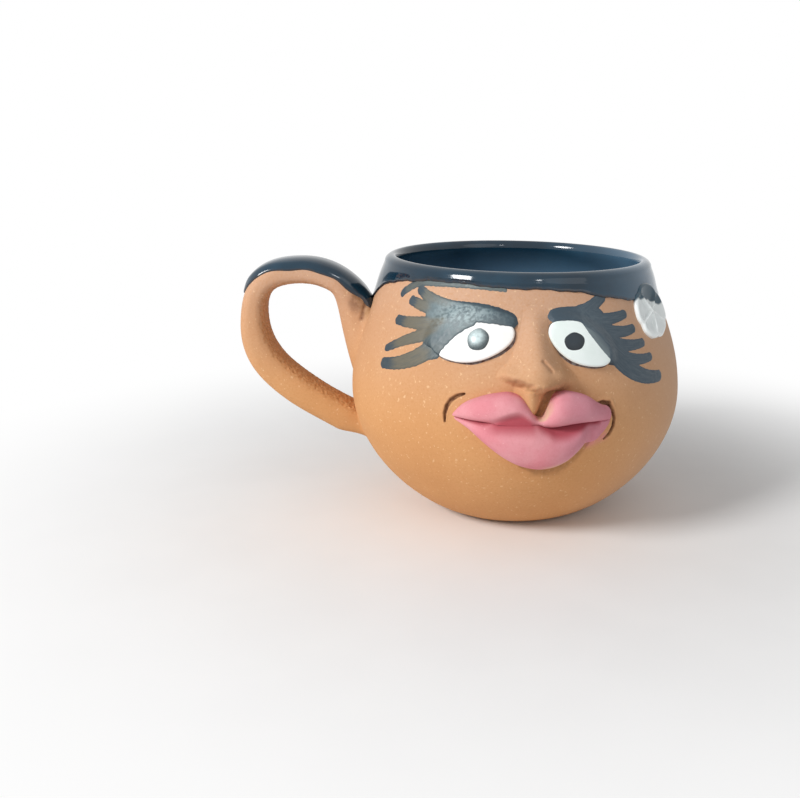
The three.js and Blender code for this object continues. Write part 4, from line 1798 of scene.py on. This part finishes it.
@dataclass
class Nose:
    """The pinched nose, worked into the wall without a seam, and the clay below it.

    Lines run through places across the face and heights above the base.
    """

    wall: Wall
    reach: float = 37.4
    half_width: float = 12.0
    low: float = 30.6
    high: float = 54.6
    middle: float = 0.3
    roundness: float = 2.2
    foot_middle: float = 1.0
    foot_height: float = 36.4
    foot_slants: Pair = (0.36, 0.16)
    wings: Tuple[Pair, ...] = ((-4.5, 0.9), (4.9, 0.8))
    wing_height: float = 39.7
    wing_half: Pair = (1.5, 1.2)
    web_middle: float = -0.9
    web_half_width: float = 3.4
    web_lift: float = 2.7
    slot_line: Tuple[Pair, ...] = ((3.4, 37.0), (1.7, 34.2), (0.4, 31.8))
    slot_half_width: float = 0.68
    slot_depth: float = 2.2
    crease_line: Tuple[Pair, ...] = ((1.2, 42.4), (2.0, 41.6), (2.7, 40.7))
    crease_half_width: float = 0.32
    crease_depth: float = 0.55
    smear_line: Tuple[Pair, ...] = ((-6.2, 39.3), (-4.3, 38.8), (-2.1, 38.1), (-0.6, 37.0))
    spill_line: Tuple[Pair, ...] = ((-4.7, 37.1), (-2.4, 36.5))
    shade_middle: Pair = (3.9, 37.8)
    shade_half: Pair = (2.5, 1.7)
    sunk: float = -0.06
    kept: float = -0.0595
    ridge: Course = Course((
        (36.0, 4.6), (38.0, 5.2), (39.5, 5.6), (41.0, 5.6), (42.5, 5.0), (44.5, 3.8), (47.0, 2.4),
        (49.5, 1.2), (51.6, 0.42), (53.5, 0.0),
    ))
    spread: Course = Course((
        (36.0, 9.2), (38.0, 9.6), (39.5, 9.4), (41.0, 8.1), (42.5, 6.6), (44.5, 5.4), (47.0, 4.5),
        (49.5, 3.8), (51.6, 3.4), (53.5, 3.4),
    ))

    def lift(self, x: Array, z: Array) -> Array:
        """How far the nose stands off the wall.

        Args:
            x: Places across.
            z: Heights.

        Returns:
            The lift, a little negative outside the nose.
        """
        ridge = self.ridge.at(z)
        width = self.spread.at(z)
        q = np.clip(np.abs(x - self.middle) / width, 0.0, 1.0)
        form = (1.0 - q * q) ** self.roundness
        beyond = x - self.foot_middle
        slant = np.where(beyond > 0.0, self.foot_slants[1], self.foot_slants[0])
        foot = self.foot_height + slant * np.sqrt(beyond**2 + 0.6) + 0.12 * ripple(x, z, 0.7, 0.2)
        nose = ridge * form * soft_step(z - foot, -0.5, 1.5)
        for wing, size in self.wings:
            near = bell(x - wing, self.wing_half[0]) * bell(z - self.wing_height, self.wing_half[1])
            nose = nose + size * near
        web = np.clip(1.0 - ((x - self.web_middle) / self.web_half_width) ** 2, 0.0, 1.0) ** 2
        web = self.web_lift * web * plateau(z, (30.8, 33.2), (36.5, 38.5))
        crease = self.crease_depth * beside(x, z, self.crease_line, self.crease_half_width)
        rough = 0.16 * ripple(x, z, 0.45, 1.3) * bell(z - foot - 0.3, 0.8) * form
        below = self.sunk * fade(form + web, 0.0, 0.14)
        return nose + web - self.slot_depth * self.slot(x, z) - crease + rough + below

    def slot(self, x: Array, z: Array) -> Array:
        """How deep in the slot beside the web under the nose a place lies, from 0 to 1."""
        return beside(x, z, self.slot_line, self.slot_half_width) * soft_step(37.5 - z, 0.0, 0.8)

    def build(self) -> Piece:
        """Lays a sheet of clay over the wall and lifts it to the nose.

        Returns:
            The piece.
        """
        piece, across, up = Bench.sheet("pinched_nose", columns=150, rows=150)
        x = self.half_width * (2.0 * across - 1.0)
        z = self.low + (self.high - self.low) * up
        lift = self.lift(x, z)
        Bench.shape(piece, self.wall.place(x / self.reach, z, lift))
        smear = beside(x, z, self.smear_line, 0.40 + 0.20 * ripple(x, z, 0.5, 0.8))
        smear = smear + 0.3 * beside(x, z, self.spill_line, 0.4)
        Bench.stain(piece, "brown_stain_and_shade", 0.3 * np.clip(smear, 0.0, 1.0))
        # Painted shade in the slot beside the web and painted shadow under the right side of the nose.
        aside = (x - self.shade_middle[0]) / self.shade_half[0]
        upright = (z - self.shade_middle[1]) / self.shade_half[1]
        shade = np.exp(-(aside**4) - upright**4)
        Bench.stain(piece, "painted_shade", np.maximum(0.5 * self.slot(x, z), 0.32 * shade))
        Bench.trim(piece, lift > self.kept)
        return piece

    def dress(self, piece: Piece, clay: Material) -> None:
        """Gives the nose its clay."""
        Bench.hand_over(piece, Slot.CLAY, clay, ["nose"])


@dataclass
class Mouth:
    """The two modelled lips, with a deep bow in the middle of the upper one.

    Outlines are heights above the mouth line's level, read along places across the face.
    """

    wall: Wall
    height: float = 30.6
    upper_span: Pair = (-17.4, 17.1)
    lower_span: Pair = (-17.0, 17.2)
    fullness: float = 0.62
    tuck: float = 0.3
    arch_lift: float = 3.45
    turn_in: float = 0.80
    parting: Course = Course((
        (-17.4, 0.4), (-13.0, 0.2), (-10.0, 0.1), (-8.2, 0.1), (-7.2, 0.1), (-6.1, 0.1),
        (-4.5, 0.1), (-2.4, 0.1), (-0.7, 0.05), (0.6, -0.1), (1.9, -0.6), (3.0, -0.7), (6.0, -0.35),
        (10.0, -0.1), (13.0, -0.2), (14.5, -0.3), (16.0, -0.35), (17.0, -0.3), (17.6, -0.2),
    ))
    arch: Course = Course((
        (-9.0, 0.1), (-7.2, 0.8), (-6.1, 1.3), (-4.5, 1.9), (-2.4, 2.0), (-0.7, 0.9), (1.0, -0.2),
    ))
    sag: Course = Course((
        (1.5, 0.1), (2.4, 0.3), (4.0, 0.9), (5.9, 1.2), (8.0, 0.95), (10.5, 0.4), (13.0, 0.15),
        (17.2, 0.1),
    ))
    upper_edge: Course = Course((
        (-17.4, 0.7), (-15.1, 3.1), (-11.6, 4.9), (-8.0, 5.9), (-4.6, 6.1), (-2.7, 5.3),
        (-1.3, 3.7), (0.3, 1.4), (1.5, 1.5), (2.8, 3.7), (3.8, 5.6), (5.7, 6.4), (8.4, 6.1),
        (11.0, 5.2), (13.2, 3.8), (15.0, 2.9), (16.3, 2.4), (17.1, 1.2), (17.6, 0.0),
    ))
    upper_lift: Course = Course((
        (-17.4, 0.3), (-15.0, 2.0), (-12.0, 3.6), (-8.0, 4.7), (-4.0, 4.9), (-1.5, 4.2), (0.5, 3.3),
        (2.0, 3.7), (4.0, 4.9), (8.0, 4.9), (11.0, 4.3), (13.5, 3.1), (15.5, 2.0), (16.8, 1.4),
        (17.6, 0.9),
    ))
    lower_edge: Course = Course((
        (-17.0, -0.1), (-15.0, -0.9), (-13.1, -1.8), (-10.1, -3.9), (-6.6, -6.5), (-3.3, -8.35),
        (0.0, -9.2), (3.4, -8.9), (6.7, -7.6), (9.5, -5.5), (10.6, -4.9), (11.3, -4.9),
        (12.2, -4.8), (13.2, -4.4), (14.5, -3.5), (15.6, -2.5), (16.6, -1.3), (17.2, -0.5),
    ))
    lower_lift: Course = Course((
        (-17.0, 0.3), (-15.0, 1.3), (-13.1, 2.4), (-10.1, 3.9), (-6.6, 4.9), (-3.3, 5.2),
        (0.0, 5.3), (3.4, 5.2), (6.7, 4.6), (9.5, 3.4), (11.0, 2.0), (11.6, 1.7), (12.6, 2.0),
        (13.6, 2.0), (15.0, 1.6), (16.2, 1.1), (17.2, 0.5),
    ))

    def __post_init__(self) -> None:
        """Works out the radius that places across the mouth are measured at."""
        self.reach = float(self.wall.radius(self.height))

    @staticmethod
    def spread(across: Array, span: Pair) -> Tuple[Array, Array]:
        """Places across a lip, and how closed its ends are there.

        Args:
            across: Shares of the span.
            span: Both ends of the lip.

        Returns:
            The places, closer together at the ends, and a rounding from 0 at the ends to 1.
        """
        share = 0.35 * (0.5 - 0.5 * np.cos(math.pi * across)) + 0.65 * across
        x = span[0] + (span[1] - span[0]) * share
        gap = np.minimum(x - span[0], span[1] - x)
        inward = np.clip(1.0 - gap / 0.9, 0.0, 1.0)
        return x, np.sqrt(1.0 - inward**2)

    def build_upper(self) -> Piece:
        """Rolls the upper lip.

        Returns:
            The piece.
        """
        piece, across, up = Bench.sheet("upper_lip_roll", columns=220, rows=48)
        x, end = self.spread(across, self.upper_span)
        foot = self.parting.at(x)
        head = self.upper_edge.at(x)
        middle = (foot + head) / 2.0
        half = (head - foot) / 2.0 * (0.12 + 0.88 * end)
        angle = math.pi * up
        climb = 0.5 - 0.5 * np.cos(angle)
        full = self.upper_lift.at(x) * end
        lift = full * np.sin(angle) ** self.fullness - self.tuck
        soft = self.soft_part(x)
        y = middle + half * (2.0 * climb**1.12 - 1.0)
        red = soft * fade(y - self.arch.at(x), -0.8, 1.0)
        lift = lift + (self.arch_lift - lift) * red
        Bench.shape(piece, self.wall.place(x / self.reach, self.height + y, lift))
        # Painted shade in the mouth line under the upper lip and in the soft red zone.
        line = (0.8 - 0.6 * soft) * fade(climb, 0.01, 0.16) * fade(x, 13.0, 13.8)
        Bench.stain(piece, "deep", np.maximum(line, 0.95 * red))
        flank = plateau(x, (0.2, 0.8), (2.4, 3.6))
        Bench.stain(piece, "bare", flank * soft_step(climb, 0.60, 0.8))
        # Painted shade: mauve towards the side away from the key lamp.
        Bench.stain(piece, "painted_shade_mauve", 0.45 * soft_step(x, 1.0, 9.0))
        Bench.weld(piece)
        return piece

    @staticmethod
    def soft_part(x: Array) -> Array:
        """Where the lips meet without a sharp line, from 0 to 1."""
        return plateau(x, (-10.5, -7.0), (-1.0, 1.5))

    def build_lower(self) -> Piece:
        """Rolls the lower lip, which runs up behind the upper one.

        Returns:
            The piece.
        """
        piece, across, up = Bench.sheet("lower_lip_roll", columns=220, rows=56)
        x, end = self.spread(across, self.lower_span)
        sag = self.sag.at(x)
        head = self.parting.at(x) - sag
        foot = self.lower_edge.at(x)
        foot = head + (foot - head) * (0.15 + 0.85 * end)
        soft = self.soft_part(x)
        pad = soft_step(x, 13.0, 14.2)
        last = (0.84 - 0.13 * soft - 0.34 * pad) * math.pi
        angle = last * portion(up, 0.0, self.turn_in)
        climb = (1.0 - np.cos(angle)) / (1.0 - np.cos(last))
        behind = portion(up, self.turn_in, 1.0)
        full = self.lower_lift.at(x) * end
        lift = full * np.sin(angle) ** self.fullness * (1.0 - 0.9 * behind) - self.tuck
        y = foot + (head - foot) * climb + (1.1 + sag) * behind * end
        red = soft * soft_step(y, -2.6, 0.1)
        lift = lift - 0.5 * red * (1.0 - behind)
        Bench.shape(piece, self.wall.place(x / self.reach, self.height + y, lift))
        # Painted shade, strongest in the shaded gap under the right of the upper lip.
        shaded = plateau(x, (1.5, 3.5), (9.0, 12.0))
        inner = soft_step(climb + behind + 0.05 * shaded, 0.80, 1.05)
        line = (0.9 - 0.4 * soft) * (1.0 - pad) * inner
        Bench.stain(piece, "deep", np.maximum(line, 0.9 * red))
        # Painted shade: mauve towards the side away from the key lamp.
        Bench.stain(piece, "painted_shade_mauve", 0.45 * soft_step(x, 1.0, 9.0))
        edge = plateau(x, (0.0, 4.0), (9.5, 11.0))
        Bench.stain(piece, "bare", 0.8 * edge * fade(climb, 0.13, 0.27))
        Bench.weld(piece)
        return piece

    def dress(self, upper: Piece, lower: Piece, slip: Material) -> None:
        """Gives both lips their slip."""
        Bench.hand_over(upper, Slot.LIP, slip, ["upper_lip"])
        Bench.hand_over(lower, Slot.LIP, slip, ["lower_lip"])


@dataclass
class Flower:
    """The little flower pressed on beside the rim, with scooped petals between thin ridges."""

    wall: Wall
    turn: float = 53.9
    height: float = 50.2
    radius: float = 5.9
    thickness: float = 1.25
    tilt: float = 0.085
    foot: float = 0.12
    shoulder: float = 0.32
    round_edge: float = 0.6
    scoop: float = 0.85
    ridge_half_width: float = 0.34
    worn_turn: float = 298.0
    tuck: float = 0.4
    ridges: Tuple[float, ...] = (40.0, 125.0, 203.0, 263.0, 325.0)
    dip: Course = Course((
        (-6.5, 2.5), (-4.4, 2.9), (-2.3, 2.7), (0.0, 2.3), (1.7, 1.7), (3.3, 0.9), (5.5, 0.5),
    ))

    def build(self) -> Piece:
        """Forms the flower over the wall.

        Returns:
            The piece.
        """
        piece, around, up = Bench.sheet("pressed_flower", columns=160, rows=44)
        angle = 2.0 * math.pi * around
        rise = portion(up, 0.0, self.foot)
        bend = portion(up, self.foot, self.shoulder) * math.pi / 2.0
        share = 1.0 - portion(up, self.shoulder, 1.0)
        gaps = np.stack([
            np.abs((np.degrees(angle) - ridge + 180.0) % 360.0 - 180.0) for ridge in self.ridges
        ])
        nearest = gaps.min(axis=0)
        aside = np.radians(nearest) * np.maximum(share, 0.12) * self.radius
        ridge = bell(aside, self.ridge_half_width)
        notch = 0.07 * bell(nearest, 9.0)
        worn = 0.07 * bell(np.degrees(angle) - self.worn_turn, 24.0)
        rim = self.radius * (1.0 - notch - worn) - self.round_edge * (1.0 - np.cos(bend))
        x = rim * share * np.cos(angle)
        y = rim * share * np.sin(angle)
        scoop = self.scoop * np.sin(np.pi * np.clip(share, 0.0, 1.0) ** 0.85) * (1.0 - ridge)
        top = self.thickness + self.tilt * x - self.round_edge
        lift = (top + self.tuck) * rise - self.tuck + self.round_edge * np.sin(bend)
        lift = lift - scoop * (bend >= math.pi / 2.0 - 1e-6)
        reach = float(self.wall.radius(self.height))
        places = self.wall.place(math.radians(self.turn) + x / reach, self.height + y, lift)
        Bench.shape(piece, places)
        line = self.dip.at(x) + 0.15 * np.sin(x * 2.6)
        Bench.stain(piece, "dip", soft_step(y - line, -0.15, 0.35))
        # Painted shade, following the depth of the scoops.
        Bench.stain(piece, "painted_hollow_shade", 0.4 * scoop)
        Bench.weld(piece)
        return piece

    def dress(self, piece: Piece, pearl: Material) -> None:
        """Gives the flower its glaze."""
        Bench.hand_over(piece, Slot.PETAL, pearl, ["flower"])


# Stage


@dataclass(frozen=True)
class Lamp:
    """A round soft lamp: its azimuth and elevation, its reach and width in metres, and its power."""

    name: str
    angles: Pair
    reach: float
    width: float
    watts: float


@dataclass
class Studio:
    """A pale floor, soft light and the camera at the angle of the photograph."""

    target: Triple = (0.0, 0.0, 0.030)
    distance: float = 0.240
    azimuth: float = -6.0
    elevation: float = 14.25
    roll: float = 1.4
    lens: float = 44.55
    shift: Pair = (-0.1441, -0.026)
    lamps: Tuple[Lamp, ...] = (
        Lamp("key_lamp", (-56.0, 30.0), reach=0.70, width=0.22, watts=3.65),
        Lamp("fill_lamp", (36.0, 26.0), reach=0.90, width=0.55, watts=0.56),
        Lamp("spark_lamp", (12.6, 28.7), reach=0.70, width=0.05, watts=0.10),
    )
    ambient: float = 0.39
    floor_size: float = 12.0
    floor_drop: float = 0.00004
    floor_fade: Pair = (0.05, 0.17)
    floor_tones: Tuple[Colour, Colour] = ((0.88, 0.88, 0.88), (0.90, 0.90, 0.90))

    @staticmethod
    def way(azimuth: float, elevation: float) -> Vector:
        """The way from the cup to a place round it, from angles in degrees."""
        rise = math.radians(elevation)
        return Vector(round_axis(math.radians(azimuth), math.cos(rise), math.sin(rise)))

    def camera(self) -> None:
        """Sets up the camera."""
        data = bpy.data.cameras.new("camera")
        data.lens = self.lens
        data.sensor_width = 36.0
        data.sensor_fit = "HORIZONTAL"
        data.shift_x, data.shift_y = self.shift
        data.clip_start = 0.01
        camera = bpy.data.objects.new("camera", data)
        bpy.context.scene.collection.objects.link(camera)
        view = self.way(self.azimuth, self.elevation)
        camera.location = Vector(self.target) + view * self.distance
        level = view.to_track_quat("Z", "Y")
        camera.rotation_euler = (level @ Quaternion((0.0, 0.0, 1.0), math.radians(self.roll))).to_euler()
        bpy.context.scene.camera = camera

    def hang(self, lamp: Lamp) -> None:
        """Adds a lamp that faces the cup.

        Args:
            lamp: The lamp.
        """
        data = bpy.data.lights.new(lamp.name, "AREA")
        data.shape = "DISK"
        data.size = lamp.width
        data.energy = lamp.watts
        light = bpy.data.objects.new(lamp.name, data)
        bpy.context.scene.collection.objects.link(light)
        view = self.way(*lamp.angles)
        light.location = Vector(self.target) + view * lamp.reach
        light.rotation_euler = view.to_track_quat("Z", "Y").to_euler()

    def world(self) -> None:
        """Makes a plain world, white where it is seen and softer where it lights."""
        world = bpy.data.worlds.new("studio")
        bpy.context.scene.world = world
        world.use_nodes = True
        nodes = world.node_tree.nodes
        links = world.node_tree.links
        nodes.clear()
        mix = nodes.new("ShaderNodeMixShader")
        rays = nodes.new("ShaderNodeLightPath")
        seen = rays.outputs["Is Camera Ray"]
        for kind in ("Is Glossy Ray", "Is Transmission Ray"):
            either = nodes.new("ShaderNodeMath")
            either.operation = "MAXIMUM"
            links.new(seen, either.inputs[0])
            links.new(rays.outputs[kind], either.inputs[1])
            seen = either.outputs[0]
        links.new(seen, mix.inputs[0])
        for place, strength in ((1, self.ambient), (2, 1.0)):
            sky = nodes.new("ShaderNodeBackground")
            sky.inputs["Color"].default_value = WHITE
            sky.inputs["Strength"].default_value = strength
            links.new(sky.outputs[0], mix.inputs[place])
        output = nodes.new("ShaderNodeOutputWorld")
        links.new(mix.outputs[0], output.inputs["Surface"])

    def floor(self) -> None:
        """Lays a pale floor that keeps the shadow near the cup and is white further off."""
        Bench.clear()
        bpy.ops.mesh.primitive_plane_add(size=self.floor_size, location=(0.0, 0.0, -self.floor_drop))
        floor = Bench.take("floor")
        desk = NodeDesk("pale_floor")
        distance = desk.nodes.new("ShaderNodeVectorMath")
        distance.operation = "LENGTH"
        desk.links.new(desk.place, distance.inputs[0])
        far = desk.grade(distance.outputs["Value"], *self.floor_fade)
        grain = desk.noise(40.0, 2.0)
        colour = desk.mix(desk.grade(grain, 0.3, 0.7), *self.floor_tones)
        desk.done(colour, 0.9, desk.bump(grain, 0.02, 0.0002))
        glow = desk.nodes.new("ShaderNodeEmission")
        glow.inputs["Color"].default_value = WHITE
        glow.inputs["Strength"].default_value = 1.0
        rays = desk.nodes.new("ShaderNodeLightPath")
        lit = desk.sum(rays.outputs["Is Camera Ray"], rays.outputs["Is Glossy Ray"], "MAXIMUM")
        mix = desk.nodes.new("ShaderNodeMixShader")
        desk.links.new(desk.times(far, lit), mix.inputs[0])
        desk.links.new(desk.shader.outputs[0], mix.inputs[1])
        desk.links.new(glow.outputs[0], mix.inputs[2])
        desk.links.new(mix.outputs[0], desk.nodes["Material Output"].inputs["Surface"])
        floor.data.materials.append(desk.material)

    def set_up(self) -> None:
        """Sets up camera, lamps, world and floor."""
        self.camera()
        for lamp in self.lamps:
            self.hang(lamp)
        self.world()
        self.floor()
        bpy.context.scene.view_settings.view_transform = "Standard"


HANDLE_STROKES = (
    Stroke((-5.2, 3.6), (-12.0, 5.1), (-23.0, 4.6), (2.5, 4.7), (0.55, 0.25), 1.0),
    Stroke((-5.1, 3.6), (-7.0, 4.0), (-9.5, 4.4), (2.5, 3.0), (0.95, 0.5), 1.0),
    Stroke((-13.9, 3.9), (-18.2, 2.2), (-21.2, -2.5), (4.4, 5.4), (0.35, 0.45), 0.85),
    Stroke((-19.5, 5.4), (-24.5, 6.3), (-28.6, 8.1), (3.0, 1.9), (0.2, 1.0), 0.25),
    Stroke((-20.0, 4.4), (-26.0, 4.7), (-30.3, 5.7), (2.8, 1.9), (0.15, 1.0), 0.1),
    Stroke((-20.0, 2.4), (-26.5, 1.1), (-32.8, 1.3), (3.2, 2.0), (0.15, 1.0)),
    Stroke((-20.6, 0.4), (-27.0, -1.2), (-33.8, -4.8), (3.2, 1.6), (0.15, 0.9)),
    Stroke((-20.8, -2.2), (-25.4, -7.0), (-33.6, -8.0), (4.0, 2.4), (0.2, 1.0)),
    Stroke((-29.0, 9.4), (-32.4, 8.5), (-34.4, 6.8), (1.5, 1.9), (0.4, 1.0), 0.3),
    Stroke((-29.0, 9.4), (-18.0, 10.3), (-6.5, 9.5), (1.3, 0.9), (0.2, 0.1), 0.6),
)
FLOWER_STROKES = (
    Stroke((4.9, 4.7), (9.4, 5.2), (15.0, 4.0), (2.7, 3.6), (1.0, 0.75)),
    Stroke((11.2, 4.9), (14.2, 0.4), (18.4, -3.3), (3.6, 6.0), (0.65, 0.7)),
    Stroke((11.0, 5.2), (14.6, 6.2), (17.2, 7.9), (2.6, 2.3), (0.75, 0.8)),
    Stroke((14.8, 3.4), (19.0, 3.2), (22.8, 3.9), (2.8, 1.8), (0.75, 0.85)),
    Stroke((17.0, 1.0), (21.0, 0.2), (24.4, 0.8), (2.8, 1.8), (0.75, 0.85)),
    Stroke((18.6, -1.8), (22.6, -2.7), (26.5, -2.4), (2.8, 1.8), (0.75, 0.85)),
    Stroke((19.4, -4.4), (24.0, -6.0), (28.1, -5.6), (2.8, 1.8), (0.75, 0.85)),
    Stroke((18.8, -4.6), (22.6, -9.8), (30.2, -10.1), (4.4, 2.5), (0.75, 0.9)),
)


def make_eyes(wall: Wall) -> None:
    """Builds and dresses both eyes.

    Args:
        wall: The wall that they are pressed on.
    """
    handle_slip = BrushSlipFinish(
        "olive_grey_slip",
        dense=(0.024, 0.044, 0.060),
        thin=(0.122, 0.108, 0.074),
        blue=(0.078, 0.128, 0.146),
        veil=(0.34, 0.35, 0.33),
        sheen=(0.44, 0.54, 0.555),
        sheen_share=0.95,
    )
    flower_slip = BrushSlipFinish(
        "blue_grey_slip",
        dense=(0.032, 0.056, 0.078),
        thin=(0.110, 0.142, 0.165),
        blue=(0.110, 0.142, 0.165),
        veil=(0.24, 0.29, 0.30),
        sheen=(0.26, 0.32, 0.35),
        sheen_share=0.25,
    )
    handle_eye = Eye(
        wall,
        Side.HANDLE,
        Brushwork(HANDLE_STROKES, wobble=0.09),
        middle=(-13.0, 0.12),
        half=(9.0, 5.0),
        tilt=9.5,
        look=(1.7, -0.55),
        pupil_half=(2.2, 2.2),
        pupil_height=0.80,
        pupil_dome=2.0,
        shine=(-15.5, 4.2, 6.5, 3.0),
        patch=(-36.4, -2.8, -10.6, 11.0),
        lean=0.06,
        veil_share=0.15,
    )
    flower_eye = Eye(
        wall,
        Side.FLOWER,
        Brushwork(FLOWER_STROKES, wobble=0.04),
        middle=(9.6, -1.0),
        half=(7.3, 4.0),
        tilt=-28.0,
        look=(-1.5, 0.35),
        pupil_half=(2.15, 1.78),
        pupil_height=0.22,
        pupil_dome=8.0,
        shine=(11.5, 3.2, 4.0, 2.5),
        patch=(2.2, 32.8, -12.6, 9.9),
        gap_turn=215.0,
        veil_share=0.7,
    )
    white = WhiteSlipFinish("warm_white_slip", (0.90, 0.90, 0.88), (0.84, 0.84, 0.82)).material()
    cool = WhiteSlipFinish("cool_white_slip", (0.90, 0.98, 0.96), (0.85, 0.94, 0.91)).material()
    bead = PupilFinish("burnished_pupil", (0.075, 0.100, 0.108), (0.62, 0.74, 0.75), 0.22).material()
    flat = PupilFinish("matt_pupil", (0.010, 0.016, 0.022), (0.016, 0.026, 0.036), 0.5).material()
    handle_eye.dress(handle_eye.build(), white, bead, handle_slip.material())
    flower_eye.dress(flower_eye.build(), cool, flat, flower_slip.material())


def main() -> None:
    """Builds the cup piece by piece, dresses it and sets the stage."""
    logging.basicConfig(level=logging.INFO, format="%(name)s: %(message)s")
    wall = Wall()
    clay = ClayFinish().material()
    glaze = GlazeFinish().material()

    body = CupBody(wall)
    body.dress(body.build(), clay)
    handle = Handle(wall)
    handle.dress(handle.build(), handle.build_glaze(), clay, glaze)
    lining = GlazeLining(wall)
    lining.dress(lining.build(), glaze)
    make_eyes(wall)
    nose = Nose(wall)
    nose.dress(nose.build(), clay)
    mouth = Mouth(wall)
    mouth.dress(mouth.build_upper(), mouth.build_lower(), LipFinish().material())
    flower = Flower(wall)
    flower.dress(flower.build(), PetalFinish().material())
    Studio().set_up()


if __name__ == "__main__":
    main()
